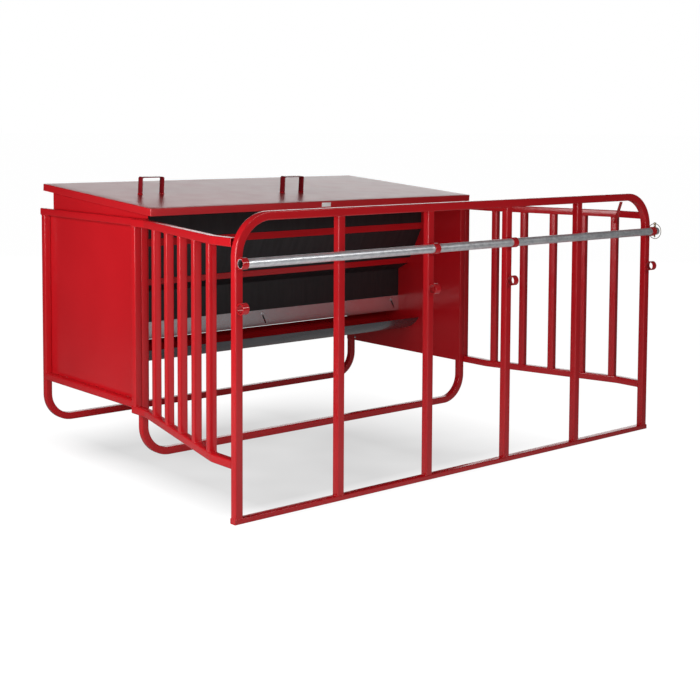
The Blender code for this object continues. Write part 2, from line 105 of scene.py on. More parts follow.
class Side(Enum):
    """The two side gates, with the direction that each one's outer face looks along X."""

    LEFT = -1.0
    RIGHT = 1.0

    @property
    def word(self) -> str:
        """The side's name as the frame's nodes spell it."""
        return self.name.lower()


# ---------------------------------------------------------------------------
# Node trees and finishes
# ---------------------------------------------------------------------------


class Nodes:
    """Short calls that build one node tree."""

    def __init__(self, tree: bpy.types.NodeTree) -> None:
        """Keep the tree that nodes are added to."""
        self.tree = tree

    def add(self, kind: str, values: dict[str, object] | None = None, **settings: object) -> bpy.types.Node:
        """Add one node.

        Args:
            kind: Blender's type name for the node.
            values: Input values by socket name.
            **settings: Attributes of the node.

        Returns:
            The new node.
        """
        node = self.tree.nodes.new(kind)
        for name, value in settings.items():
            setattr(node, name, value)
        for name, value in (values or {}).items():
            node.inputs[name].default_value = value
        return node

    def join(self, source: bpy.types.NodeSocket, target: bpy.types.NodeSocket) -> None:
        """Link an output to an input."""
        self.tree.links.new(source, target)

    def noise(self, coords: bpy.types.NodeSocket, scale: float, detail: float = 2.0,
              roughness: float = 0.5, distortion: float = 0.0) -> bpy.types.NodeSocket:
        """Add a noise pattern and return its grey output.

        Args:
            coords: Where the pattern is read.
            scale: Waves per metre.
            detail: Number of finer layers.
            roughness: Strength of the finer layers.
            distortion: How far the pattern is bent.

        Returns:
            The noise's factor socket.
        """
        node = self.add("ShaderNodeTexNoise", {"Scale": scale, "Detail": detail, "Roughness": roughness,
                                               "Distortion": distortion})
        self.join(coords, node.inputs["Vector"])
        return node.outputs["Fac"]

    def spread(self, value: bpy.types.NodeSocket, low: float, high: float, to_low: float,
               to_high: float) -> bpy.types.NodeSocket:
        """Map a value from one range to another, clamped.

        Args:
            value: The socket to map.
            low: Value that becomes to_low.
            high: Value that becomes to_high.
            to_low: Result at the low end.
            to_high: Result at the high end.

        Returns:
            The mapped value's socket.
        """
        node = self.add("ShaderNodeMapRange", {"From Min": low, "From Max": high, "To Min": to_low,
                                               "To Max": to_high})
        self.join(value, node.inputs["Value"])
        return node.outputs["Result"]

    def blend(self, factor: bpy.types.NodeSocket, first: bpy.types.NodeSocket | Colour,
              second: bpy.types.NodeSocket | Colour) -> bpy.types.NodeSocket:
        """Mix two colours.

        Args:
            factor: How much of the second colour.
            first: A colour or a socket.
            second: A colour or a socket.

        Returns:
            The mixed colour's socket.
        """
        node = self.add("ShaderNodeMix", data_type="RGBA", blend_type="MIX")
        self.join(factor, node.inputs["Factor"])
        first_colour, second_colour = node.inputs[6], node.inputs[7]
        for socket, colour in ((first_colour, first), (second_colour, second)):
            if isinstance(colour, tuple):
                socket.default_value = (*colour, 1.0)
            else:
                self.join(colour, socket)
        return node.outputs[2]

    def maths(self, operation: str, first: bpy.types.NodeSocket,
              second: bpy.types.NodeSocket | float) -> bpy.types.NodeSocket:
        """Do one sum on two values.

        Args:
            operation: Blender's name for the sum.
            first: The first value.
            second: The second value, a number or a socket.

        Returns:
            The result's socket.
        """
        node = self.add("ShaderNodeMath", operation=operation, use_clamp=False)
        self.join(first, node.inputs[0])
        if isinstance(second, float):
            node.inputs[1].default_value = second
        else:
            self.join(second, node.inputs[1])
        return node.outputs[0]

    def product(self, first: bpy.types.NodeSocket, *rest: bpy.types.NodeSocket) -> bpy.types.NodeSocket:
        """Multiply values.

        Args:
            first: The first value.
            *rest: The values that it is multiplied by.

        Returns:
            The product's socket.
        """
        for value in rest:
            first = self.maths("MULTIPLY", first, value)
        return first

    def stretched(self, coords: bpy.types.NodeSocket, scale: Point) -> bpy.types.NodeSocket:
        """Scale the coordinates, so that a pattern is drawn out along an axis.

        Args:
            coords: The coordinates.
            scale: Factors along X, Y and Z; a small one draws the pattern out.

        Returns:
            The scaled coordinates' socket.
        """
        node = self.add("ShaderNodeMapping", {"Scale": scale})
        self.join(coords, node.inputs["Vector"])
        return node.outputs[0]

    def split(self, coords: bpy.types.NodeSocket) -> bpy.types.NodeOutputs:
        """Part the coordinates into X, Y and Z.

        Args:
            coords: The coordinates.

        Returns:
            Three sockets, named X, Y and Z.
        """
        node = self.add("ShaderNodeSeparateXYZ")
        self.join(coords, node.inputs[0])
        return node.outputs

    def bump(self, height: bpy.types.NodeSocket, strength: float, distance: float,
             under: bpy.types.NodeSocket | None = None) -> bpy.types.NodeSocket:
        """Turn a height into a surface normal.

        Args:
            height: The height pattern.
            strength: Weight of the bump.
            distance: Height in metres at full strength.
            under: A normal that this bump is added to.

        Returns:
            The normal's socket.
        """
        node = self.add("ShaderNodeBump", {"Strength": strength, "Distance": distance})
        self.join(height, node.inputs["Height"])
        if under is not None:
            self.join(under, node.inputs["Normal"])
        return node.outputs["Normal"]


@dataclass(frozen=True)
class Finish:
    """What every finish shares: a name and the Principled values that are the same all over."""

    name: str
    metallic: float = 0.0
    coat: float = 0.0
    coat_roughness: float = 0.1

    def material(self) -> bpy.types.Material:
        """Make this finish's material the first time it is asked for.

        Returns:
            The material.
        """
        known = bpy.data.materials.get(self.name)
        if known is not None:
            return known
        material = bpy.data.materials.new(self.name)
        material.use_nodes = True
        shader = material.node_tree.nodes["Principled BSDF"]
        shader.inputs["Metallic"].default_value = self.metallic
        shader.inputs["Coat Weight"].default_value = self.coat
        shader.inputs["Coat Roughness"].default_value = self.coat_roughness
        nodes = Nodes(material.node_tree)
        coords = nodes.add("ShaderNodeTexCoord").outputs["Object"]
        self.dress(nodes, shader, coords)
        return material

    def dress(self, nodes: Nodes, shader: bpy.types.Node, coords: bpy.types.NodeSocket) -> None:
        """Add the patterns; each finish has its own."""
        raise NotImplementedError


@dataclass(frozen=True)
class PowderCoat(Finish):
    """Glossy baked powder coat with orange peel, flow and a little handling dirt."""

    bright: Colour = (0.60, 0.010, 0.016)
    deep: Colour = (0.52, 0.0070, 0.012)
    gloss: tuple[float, float] = (0.16, 0.24)
    ripple: float = 0.0
    dust: Colour = (0.30, 0.17, 0.15)
    scuff: Colour = (0.10, 0.055, 0.050)
    scuff_height: float = 0.050
    dust_dulls: float = 0.8
    scuff_dulls: float = 0.35
    coat: float = 0.10
    coat_roughness: float = 0.12

    def dress(self, nodes: Nodes, shader: bpy.types.Node, coords: bpy.types.NodeSocket) -> None:
        """Colour drift, dust, scuffs near the ground and orange peel.

        Args:
            nodes: The material's node tree.
            shader: Its Principled shader.
            coords: Object coordinates.
        """
        drift = nodes.spread(nodes.noise(coords, 1.3, 2.0), 0.30, 0.70, 0.0, 1.0)
        colour = nodes.blend(drift, self.deep, self.bright)
        patches = nodes.spread(nodes.noise(coords, 7.0, 6.0, 0.68, 0.4), 0.62, 0.80, 0.0, 0.4)
        specks = nodes.spread(nodes.noise(coords, 240.0, 2.0), 0.50, 0.64, 0.0, 0.30)
        dirt = nodes.product(patches, specks)
        colour = nodes.blend(dirt, colour, self.dust)
        low = nodes.spread(nodes.split(coords)["Z"], 0.0, self.scuff_height, 1.0, 0.0)
        chips = nodes.spread(nodes.noise(coords, 95.0, 4.0, 0.7), 0.60, 0.66, 0.0, 0.8)
        worn = nodes.product(low, chips)
        colour = nodes.blend(worn, colour, self.scuff)
        nodes.join(colour, shader.inputs["Base Color"])
        rough = nodes.spread(nodes.noise(coords, 9.0, 3.0, 0.5), 0.30, 0.70, *self.gloss)
        rough = nodes.maths("ADD", rough, nodes.maths("MULTIPLY", dirt, self.dust_dulls))
        rough = nodes.maths("ADD", rough, nodes.maths("MULTIPLY", worn, self.scuff_dulls))
        nodes.join(rough, shader.inputs["Roughness"])
        normal = nodes.bump(nodes.noise(coords, 430.0, 2.0, 0.4), 0.05, 0.0005)
        if self.ripple:
            normal = nodes.bump(nodes.noise(coords, 3.4, 1.0, 0.3), self.ripple, 0.006, normal)
        nodes.join(normal, shader.inputs["Normal"])


@dataclass(frozen=True)
class BlackSheet(Finish):
    """Matt black coated sheet with roll lines, faint streaks and feed dust."""

    base: Colour = (0.0125, 0.0125, 0.0140)
    streak: Colour = (0.019, 0.019, 0.021)
    dust: Colour = (0.034, 0.032, 0.032)
    drawn_out: Point = (1.0, 0.16, 0.09)

    def dress(self, nodes: Nodes, shader: bpy.types.Node, coords: bpy.types.NodeSocket) -> None:
        """Streaks that run down the sheet, pale dust and fine grain.

        Args:
            nodes: The material's node tree.
            shader: Its Principled shader.
            coords: Object coordinates.
        """
        lines = nodes.noise(nodes.stretched(coords, self.drawn_out), 34.0, 4.0, 0.6)
        streaks = nodes.spread(lines, 0.38, 0.68, 0.0, 0.55)
        colour = nodes.blend(streaks, self.base, self.streak)
        clouds = nodes.spread(nodes.noise(coords, 6.0, 5.0, 0.65), 0.50, 0.76, 0.0, 0.35)
        colour = nodes.blend(clouds, colour, self.dust)
        nodes.join(colour, shader.inputs["Base Color"])
        nodes.join(nodes.spread(streaks, 0.0, 0.55, 0.62, 0.46), shader.inputs["Roughness"])
        normal = nodes.bump(nodes.noise(coords, 700.0, 2.0), 0.12, 0.0003)
        nodes.join(nodes.bump(nodes.noise(coords, 3.0, 1.0), 0.25, 0.005, normal), shader.inputs["Normal"])


@dataclass(frozen=True)
class Galvanised(Finish):
    """Zinc with its crystal spangle, drawn or rolled along one axis."""

    light: Colour = (0.80, 0.81, 0.84)
    dull: Colour = (0.62, 0.64, 0.68)
    gloss: tuple[float, float] = (0.30, 0.44)
    spangle: float = 60.0
    relief: float = 0.06
    bloom: Colour = (0.74, 0.75, 0.76)
    white_bloom: float = 0.4
    cell_warp: float = 0.35
    grain: Point = (0.08, 1.0, 1.0)
    metallic: float = 0.7

    def dress(self, nodes: Nodes, shader: bpy.types.Node, coords: bpy.types.NodeSocket) -> None:
        """Spangle cells, drawing lines, white bloom and shallow dimples.

        Args:
            nodes: The material's node tree.
            shader: Its Principled shader.
            coords: Object coordinates.
        """
        facet = self.facets(nodes, coords)
        lines = nodes.noise(nodes.stretched(coords, self.grain), 150.0, 4.0, 0.6)
        tone = nodes.maths("ADD", nodes.maths("MULTIPLY", facet, 0.55), nodes.maths("MULTIPLY", lines, 0.45))
        colour = nodes.blend(nodes.spread(tone, 0.15, 0.75, 0.0, 1.0), self.dull, self.light)
        bloom = nodes.spread(nodes.noise(coords, 11.0, 5.0, 0.7), 0.55, 0.75, 0.0, self.white_bloom)
        colour = nodes.blend(bloom, colour, self.bloom)
        nodes.join(colour, shader.inputs["Base Color"])
        rough = nodes.spread(facet, 0.0, 1.0, *self.gloss)
        rough = nodes.maths("ADD", rough, nodes.maths("MULTIPLY", bloom, 0.35))
        nodes.join(rough, shader.inputs["Roughness"])
        normal = nodes.bump(facet, self.relief, 0.0002)
        normal = nodes.bump(nodes.noise(coords, 9.0, 2.0), self.relief, 0.0010, normal)
        nodes.join(normal, shader.inputs["Normal"])

    def facets(self, nodes: Nodes, coords: bpy.types.NodeSocket) -> bpy.types.NodeSocket:
        """Give each zinc crystal a grey of its own.

        Args:
            nodes: The material's node tree.
            coords: Object coordinates.

        Returns:
            The grey value's socket.
        """
        cells = nodes.add("ShaderNodeTexVoronoi", {"Scale": self.spangle, "Randomness": 1.0})
        bend = nodes.add("ShaderNodeTexNoise", {"Scale": self.spangle * 0.5, "Detail": 3.0})
        shift = nodes.add("ShaderNodeVectorMath", operation="SCALE")
        warp = nodes.add("ShaderNodeVectorMath", operation="ADD")
        grey = nodes.add("ShaderNodeSeparateColor")
        shift.inputs["Scale"].default_value = self.cell_warp / self.spangle
        nodes.join(coords, bend.inputs["Vector"])
        nodes.join(bend.outputs["Color"], shift.inputs[0])
        nodes.join(coords, warp.inputs[0])
        nodes.join(shift.outputs[0], warp.inputs[1])
        nodes.join(warp.outputs[0], cells.inputs["Vector"])
        nodes.join(cells.outputs["Color"], grey.inputs[0])
        return grey.outputs[0]


@dataclass(frozen=True)
class TroughSkin(Finish):
    """Dark, smooth, half-mirror sheet on the outside of the trough."""

    base: Colour = (0.115, 0.120, 0.135)
    pale: Colour = (0.175, 0.180, 0.195)
    drawn_out: Point = (0.30, 1.0, 1.0)
    metallic: float = 0.75
    coat: float = 0.3

    def dress(self, nodes: Nodes, shader: bpy.types.Node, coords: bpy.types.NodeSocket) -> None:
        """Long dull patches, handling smears and a shallow wave.

        Args:
            nodes: The material's node tree.
            shader: Its Principled shader.
            coords: Object coordinates.
        """
        smears = nodes.noise(nodes.stretched(coords, self.drawn_out), 9.0, 4.0, 0.6, 0.6)
        patches = nodes.spread(smears, 0.36, 0.66, 0.0, 1.0)
        nodes.join(nodes.blend(patches, self.base, self.pale), shader.inputs["Base Color"])
        nodes.join(nodes.spread(patches, 0.0, 1.0, 0.22, 0.38), shader.inputs["Roughness"])
        nodes.join(nodes.bump(nodes.noise(coords, 4.2, 2.0), 0.35, 0.004), shader.inputs["Normal"])


@dataclass(frozen=True)
class PassivatedSteel(Finish):
    """Yellow-passivated zinc on small turned and bent steel."""

    warm: Colour = (0.50, 0.40, 0.22)
    grey: Colour = (0.42, 0.40, 0.38)
    metallic: float = 1.0

    def dress(self, nodes: Nodes, shader: bpy.types.Node, coords: bpy.types.NodeSocket) -> None:
        """Patches of yellow and grey with turning marks.

        Args:
            nodes: The material's node tree.
            shader: Its Principled shader.
            coords: Object coordinates.
        """
        patch = nodes.spread(nodes.noise(coords, 70.0, 4.0, 0.6), 0.36, 0.62, 0.0, 1.0)
        nodes.join(nodes.blend(patch, self.warm, self.grey), shader.inputs["Base Color"])
        rough = nodes.spread(nodes.noise(coords, 260.0, 3.0), 0.3, 0.7, 0.28, 0.46)
        nodes.join(rough, shader.inputs["Roughness"])
        nodes.join(nodes.bump(nodes.noise(coords, 900.0, 2.0), 0.15, 0.0002), shader.inputs["Normal"])


@dataclass(frozen=True)
class PlainPlate(Finish):
    """Blank white enamelled plate, slightly yellowed in places."""

    base: Colour = (0.94, 0.93, 0.92)
    yellowed: Colour = (0.86, 0.84, 0.79)

    def dress(self, nodes: Nodes, shader: bpy.types.Node, coords: bpy.types.NodeSocket) -> None:
        """Faint yellowing and soft wear.

        Args:
            nodes: The material's node tree.
            shader: Its Principled shader.
            coords: Object coordinates.
        """
        age = nodes.spread(nodes.noise(coords, 60.0, 3.0), 0.4, 0.7, 0.0, 0.5)
        nodes.join(nodes.blend(age, self.base, self.yellowed), shader.inputs["Base Color"])
        rough = nodes.spread(nodes.noise(coords, 300.0, 2.0), 0.3, 0.7, 0.30, 0.45)
        nodes.join(rough, shader.inputs["Roughness"])
        nodes.join(nodes.bump(nodes.noise(coords, 500.0, 2.0), 0.1, 0.0002), shader.inputs["Normal"])


TUBE_RED = PowderCoat("red_tube_paint")
SHEET_RED = PowderCoat("red_sheet_paint", ripple=0.10)
LID_RED = PowderCoat("red_lid_paint", ripple=0.06, gloss=(0.34, 0.40), coat=0.5, coat_roughness=0.28)
# Painted shade: the handles carry the lid's red paint darkened to about half its brightness.
SHADED_HANDLE_RED = PowderCoat("red_handle_painted_shade", bright=(0.27, 0.010, 0.016), deep=(0.20, 0.008, 0.013))
BLACK = BlackSheet("black_sheet_coat")
PIPE_ZINC = Galvanised("drawn_pipe_zinc", spangle=75.0, light=(0.92, 0.93, 0.95), dull=(0.74, 0.75, 0.79))
SHEET_ZINC = Galvanised("rolled_sheet_zinc", gloss=(0.22, 0.25), spangle=48.0, relief=0.004, metallic=0.9,
                        white_bloom=0.08, light=(0.88, 0.89, 0.91), dull=(0.80, 0.81, 0.84))
# Painted shade: the inside of the pipe's bore is given near-black zinc so that it reads dark.
PIPE_BORE_SHADE = Galvanised("pipe_bore_painted_shade", light=(0.060, 0.056, 0.054), dull=(0.030, 0.028, 0.027),
                       metallic=0.2, gloss=(0.55, 0.70))
SMALL_ZINC = Galvanised("plated_bolt_zinc", spangle=220.0, gloss=(0.22, 0.32), grain=(1.0, 1.0, 1.0))
TROUGH_SKIN = TroughSkin("trough_outer_skin")
PASSIVATED = PassivatedSteel("yellow_passivated_steel_wire")
WHITE = PlainPlate("blank_white_plate")


# ---------------------------------------------------------------------------
# Geometry Nodes trees
# ---------------------------------------------------------------------------


@dataclass
class SweptSection:
    """A rectangular section with round corners, swept along a path that is bent at its corners."""

    name: str = "swept_section"
    tree: bpy.types.NodeTree = field(init=False)
    sockets: dict[str, str] = field(init=False, default_factory=dict)

    def __post_init__(self) -> None:
        """Build the tree once."""
        self.tree = bpy.data.node_groups.new(self.name, "GeometryNodeTree")
        face = self.tree.interface
        kinds = (("Path", "Geometry"), ("Width", "Float"), ("Height", "Float"), ("Corner", "Float"),
                 ("Bend", "Float"), ("Bend Points", "Int"), ("Plane Normal", "Vector"), ("Caps", "Bool"),
                 ("Material", "Material"))
        for label, kind in kinds:
            socket = face.new_socket(label, in_out="INPUT", socket_type=f"NodeSocket{kind}")
            self.sockets[label] = socket.identifier
        face.new_socket("Geometry", in_out="OUTPUT", socket_type="NodeSocketGeometry")
        nodes = Nodes(self.tree)
        source = nodes.add("NodeGroupInput").outputs
        path = nodes.add("GeometryNodeMeshToCurve")
        bend = nodes.add("GeometryNodeFilletCurve", {"Limit Radius": True}, mode="POLY")
        normal = nodes.add("GeometryNodeSetCurveNormal", mode="FREE")
        section = nodes.add("GeometryNodeCurvePrimitiveQuadrilateral", mode="RECTANGLE")
        corners = nodes.add("GeometryNodeFilletCurve", {"Count": 4, "Limit Radius": True}, mode="POLY")
        sweep = nodes.add("GeometryNodeCurveToMesh")
        realise = nodes.add("GeometryNodeRealizeInstances")
        paint = nodes.add("GeometryNodeSetMaterial")
        result = nodes.add("NodeGroupOutput")
        nodes.join(source["Path"], path.inputs["Mesh"])
        nodes.join(path.outputs["Curve"], bend.inputs["Curve"])
        nodes.join(source["Bend"], bend.inputs["Radius"])
        nodes.join(source["Bend Points"], bend.inputs["Count"])
        nodes.join(bend.outputs["Curve"], normal.inputs["Curve"])
        nodes.join(source["Plane Normal"], normal.inputs["Normal"])
        nodes.join(source["Width"], section.inputs["Width"])
        nodes.join(source["Height"], section.inputs["Height"])
        nodes.join(section.outputs["Curve"], corners.inputs["Curve"])
        nodes.join(source["Corner"], corners.inputs["Radius"])
        nodes.join(normal.outputs["Curve"], sweep.inputs["Curve"])
        nodes.join(corners.outputs["Curve"], sweep.inputs["Profile Curve"])
        nodes.join(source["Caps"], sweep.inputs["Fill Caps"])
        nodes.join(sweep.outputs["Mesh"], realise.inputs["Geometry"])
        nodes.join(realise.outputs["Geometry"], paint.inputs["Geometry"])
        nodes.join(source["Material"], paint.inputs["Material"])
        nodes.join(paint.outputs["Geometry"], result.inputs["Geometry"])


@dataclass
class WeldBead:
    """A row of overlapping weld ripples along a path, each a little different from the next."""

    name: str = "weld_bead"
    radius: float = 0.0027
    pitch: float = 0.0030
    seed: int = 7
    tree: bpy.types.NodeTree = field(init=False)
    sockets: dict[str, str] = field(init=False, default_factory=dict)

    def __post_init__(self) -> None:
        """Build the tree once."""
        self.tree = bpy.data.node_groups.new(self.name, "GeometryNodeTree")
        face = self.tree.interface
        kinds = (("Path", "Geometry"), ("Radius", "Float"), ("Pitch", "Float"), ("Seed", "Int"),
                 ("Material", "Material"))
        for label, kind in kinds:
            socket = face.new_socket(label, in_out="INPUT", socket_type=f"NodeSocket{kind}")
            self.sockets[label] = socket.identifier
        face.new_socket("Geometry", in_out="OUTPUT", socket_type="NodeSocketGeometry")
        nodes = Nodes(self.tree)
        source = nodes.add("NodeGroupInput").outputs
        path = nodes.add("GeometryNodeMeshToCurve")
        steps = nodes.add("GeometryNodeResampleCurve", mode="LENGTH")
        ripple = nodes.add("GeometryNodeMeshIcoSphere", {"Subdivisions": 1})
        size = nodes.add("FunctionNodeRandomValue", data_type="FLOAT_VECTOR")
        size.inputs[0].default_value = (0.80, 0.80, 0.80)
        size.inputs[1].default_value = (1.20, 1.20, 1.20)
        place = nodes.add("GeometryNodeInstanceOnPoints")
        realise = nodes.add("GeometryNodeRealizeInstances")
        smooth = nodes.add("GeometryNodeSetShadeSmooth")
        paint = nodes.add("GeometryNodeSetMaterial")
        result = nodes.add("NodeGroupOutput")
        nodes.join(source["Path"], path.inputs["Mesh"])
        nodes.join(path.outputs["Curve"], steps.inputs["Curve"])
        nodes.join(source["Pitch"], steps.inputs["Length"])
        nodes.join(steps.outputs["Curve"], place.inputs["Points"])
        nodes.join(source["Radius"], ripple.inputs["Radius"])
        nodes.join(ripple.outputs["Mesh"], place.inputs["Instance"])
        nodes.join(source["Seed"], size.inputs["Seed"])
        nodes.join(size.outputs[0], place.inputs["Scale"])
        nodes.join(place.outputs["Instances"], realise.inputs["Geometry"])
        nodes.join(realise.outputs["Geometry"], smooth.inputs["Geometry"])
        nodes.join(smooth.outputs["Geometry"], paint.inputs["Geometry"])
        nodes.join(source["Material"], paint.inputs["Material"])
        nodes.join(paint.outputs["Geometry"], result.inputs["Geometry"])


# ---------------------------------------------------------------------------
# Workshop: turns shapes into finished pieces
# ---------------------------------------------------------------------------


@dataclass
class Workshop:
    """Makes meshes and puts each one on its body as a finished piece."""

    smooth_angle: float = math.radians(38.0)
    weld_inset: float = 0.0014
    weld_corner: float = 0.003
    section: SweptSection = field(default_factory=SweptSection)
    bead: WeldBead = field(default_factory=WeldBead)
    welds: dict[Body, list[list[Vector]]] = field(default_factory=dict)

    def piece(self, name: str, mesh: bpy.types.Mesh, finishes: Sequence[Finish], body: Body, slot: Slot,
              replaces: Iterable[str] = ()) -> bpy.types.Object:
        """Make an object of a mesh and put it on its body as a finished piece.

        Args:
            name: The piece's name.
            mesh: Its mesh, in place in the row frame.
            finishes: One finish for each material slot of the mesh.
            body: The body it rides on.
            slot: The record's slot that its finish stands for; not used.
            replaces: Frame nodes that it is shown in place of.

        Returns:
            The new object.
        """
        mesh.materials.clear()
        for finish in finishes:
            mesh.materials.append(finish.material())
        item = bpy.data.objects.new(name, mesh)
        bpy.context.scene.collection.objects.link(item)
        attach(item, body.value)
        names = list(replaces)
        if names:
            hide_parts(*names)
        LOG.info("%s: %d faces on %s", name, len(mesh.polygons), body.value)
        return item

    def evaluate(self, item: bpy.types.Object, name: str) -> bpy.types.Mesh:
        """Turn an object with modifiers into a plain mesh and remove the object.

        Args:
            item: The object to read.
            name: The new mesh's name.

        Returns:
            The plain mesh.
        """
        graph = bpy.context.evaluated_depsgraph_get()
        mesh = bpy.data.meshes.new_from_object(item.evaluated_get(graph), depsgraph=graph)
        source = item.data
        item.modifiers.clear()
        bpy.data.objects.remove(item, do_unlink=True)
        if isinstance(source, bpy.types.Mesh):
            bpy.data.meshes.remove(source)
        mesh.name = name
        return mesh

    def smooth(self, mesh: bpy.types.Mesh) -> bpy.types.Mesh:
        """Shade a mesh smooth with its real corners kept sharp.

        Args:
            mesh: The mesh to shade.

        Returns:
            The same mesh.
        """
        mesh.shade_smooth()
        mesh.set_sharp_from_angle(angle=self.smooth_angle)
        return mesh

    def path_object(self, paths: Sequence[Sequence[Vector]], closed: bool) -> bpy.types.Object:
        """Make an object of bare edges for a node tree to read.

        Args:
            paths: Point lists.
            closed: Whether each one joins its end to its start.

        Returns:
            The new object.
        """
        points: list[Vector] = []
        edges: list[tuple[int, int]] = []
        for path in paths:
            start = len(points)
            points.extend(path)
            edges.extend((start + i, start + i + 1) for i in range(len(path) - 1))
            if closed:
                edges.append((start + len(path) - 1, start))
        mesh = bpy.data.meshes.new("path")
        mesh.from_pydata(points, edges, [])
        item = bpy.data.objects.new("path", mesh)
        bpy.context.scene.collection.objects.link(item)
        return item

    def sweep(self, name: str, path: Sequence[Point], size: tuple[float, float], plane: Point,
              corner: float, bend: float = 0.0, wall: float = 0.0, bend_points: int = 14) -> bpy.types.Mesh:
        """Sweep a section along a path.

        Args:
            name: The mesh's name.
            path: The path's corners.
            size: Section size along the plane's normal and across it.
            plane: Normal of the plane that the path lies in.
            corner: Radius of the section's corners.
            bend: Radius of the path's bends, at the section's middle.
            wall: Wall thickness of a tube with open ends, or 0 for a solid bar.
            bend_points: Points in each bend.

        Returns:
            The finished mesh.
        """
        item = self.path_object([[Vector(point) for point in path]], closed=False)
        modifier = item.modifiers.new("sweep", "NODES")
        modifier.node_group = self.section.tree
        values = {"Width": size[0], "Height": size[1], "Corner": corner, "Bend": bend,
                  "Bend Points": bend_points, "Plane Normal": plane, "Caps": wall == 0.0}
        for label, value in values.items():
            modifier[self.section.sockets[label]] = value
        if wall:
            shell = item.modifiers.new("wall", "SOLIDIFY")
            shell.thickness = wall
            shell.offset = -1.0
            shell.use_even_offset = True
        return self.smooth(self.evaluate(item, name))

    def turned(self, name: str, profile: Sequence[tuple[float, float]], axis: Point, place: Point,
               sides: int = 48, closed: bool = False) -> bpy.types.Mesh:
        """Turn a profile about an axis.

        Args:
            name: The mesh's name.
            profile: Points as (radius, distance along the axis).
            axis: Direction of the axis.
            place: Point that the axis starts from.
            sides: Steps in a full turn.
            closed: Whether the profile is a loop, as on a ring.

        Returns:
            The finished mesh.
        """
        work = bmesh.new()
        spots = [work.verts.new((radius, 0.0, height)) for radius, height in profile]
        edges = [work.edges.new(pair) for pair in zip(spots, spots[1:])]
        if closed:
            edges.append(work.edges.new((spots[-1], spots[0])))
        bmesh.ops.spin(work, geom=spots + edges, axis=(0.0, 0.0, 1.0), cent=(0.0, 0.0, 0.0),
                       steps=sides, angle=math.tau, use_merge=False, use_duplicate=False)
        bmesh.ops.remove_doubles(work, verts=work.verts, dist=1e-6)
        bmesh.ops.recalc_face_normals(work, faces=work.faces)
        turn = Vector(axis).to_track_quat("Z", "Y").to_matrix().to_4x4()
        bmesh.ops.transform(work, matrix=Matrix.Translation(place) @ turn, verts=work.verts)
        mesh = bpy.data.meshes.new(name)
        work.to_mesh(mesh)
        work.free()
        return self.smooth(mesh)

    def wire(self, name: str, path: Sequence[Vector], radius: float) -> bpy.types.Mesh:
        """Make a round wire with filled ends along a path.

        Args:
            name: The mesh's name.
            path: Points along the wire's middle.
            radius: The wire's radius.

        Returns:
            The finished mesh.
        """
        curve = bpy.data.curves.new(name, "CURVE")
        curve.dimensions = "3D"
        curve.bevel_depth = radius
        curve.bevel_resolution = 4
        curve.use_fill_caps = True
        spline = curve.splines.new("POLY")
        spline.points.add(len(path) - 1)
        for spot, point in zip(spline.points, path):
            spot.co = (*point, 1.0)
        item = bpy.data.objects.new(name, curve)
        bpy.context.scene.collection.objects.link(item)
        return self.smooth(self.evaluate(item, name))

    def block(self, name: str, low: Vector, high: Vector, edge: float,
              turn: Matrix | None = None) -> bpy.types.Mesh:
        """Make a block with rounded edges.

        Args:
            name: The mesh's name.
            low: The corner with the lowest values.
            high: The corner opposite.
            edge: Radius of the edges.
            turn: How it is turned about its middle.

        Returns:
            The finished mesh.
        """
        work = bmesh.new()
        bmesh.ops.create_cube(work, size=1.0)
        bmesh.ops.transform(work, matrix=Matrix.Diagonal((*(high - low), 1.0)), verts=work.verts)
        bmesh.ops.bevel(work, geom=work.edges, offset=edge, segments=3, profile=0.5, affect="EDGES")
        place = Matrix.Translation((low + high) / 2) @ (turn.to_4x4() if turn else Matrix.Identity(4))
        bmesh.ops.transform(work, matrix=place, verts=work.verts)
        mesh = bpy.data.meshes.new(name)
        work.to_mesh(mesh)
        work.free()
        return self.smooth(mesh)

    def joined(self, name: str, meshes: Sequence[bpy.types.Mesh]) -> bpy.types.Mesh:
        """Put several meshes into one and remove the originals.

        Args:
            name: The new mesh's name.
            meshes: The meshes to join.

        Returns:
            The new mesh.
        """
        work = bmesh.new()
        for mesh in meshes:
            work.from_mesh(mesh)
        result = bpy.data.meshes.new(name)
        work.to_mesh(result)
        work.free()
        for mesh in meshes:
            bpy.data.meshes.remove(mesh)
        return self.smooth(result)

    def weld_round(self, body: Body, centre: Vector, normal: Point, half: tuple[float, float],
                   spin: float = 0.0) -> None:
        """Note a weld that runs round a tube's end.

        Args:
            body: The body that the weld belongs to.
            centre: Middle of the joint.
            normal: Direction of the tube.
            half: Half sizes of the tube's section.
            spin: Turn of the section about the tube, in radians.
        """
        turn = Vector(normal).to_track_quat("Z", "X").to_matrix() @ Matrix.Rotation(spin, 3, "Z")
        across, along = half[0] - self.weld_inset, half[1] - self.weld_inset
        step = self.weld_corner
        corners = [(across, along - step), (across - step, along), (step - across, along),
                   (-across, along - step), (-across, step - along), (step - across, -along),
                   (across - step, -along), (across, step - along)]
        loop = [centre + turn @ Vector((x, y, 0.0)) for x, y in corners]
        self.welds.setdefault(body, []).append([*loop, loop[0]])

    def weld_line(self, body: Body, start: Vector, finish: Vector) -> None:
        """Note a straight weld."""
        self.welds.setdefault(body, []).append([start, finish])

    def lay_welds(self) -> None:
        """Make one piece of weld beads for each body that has welds."""
        for body, paths in self.welds.items():
            item = self.path_object(paths, closed=False)
            modifier = item.modifiers.new("bead", "NODES")
            modifier.node_group = self.bead.tree
            values = {"Radius": self.bead.radius, "Pitch": self.bead.pitch, "Seed": self.bead.seed}
            for label, value in values.items():
                modifier[self.bead.sockets[label]] = value
            mesh = self.evaluate(item, f"{body.value}_weld_beads")
            self.piece(f"{body.value}_weld_beads", mesh, [TUBE_RED], body, Slot.RED)


def middle(node: str) -> Vector:
    """Return the middle of a frame node's box."""
    low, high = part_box(node)
    return (low + high) / 2


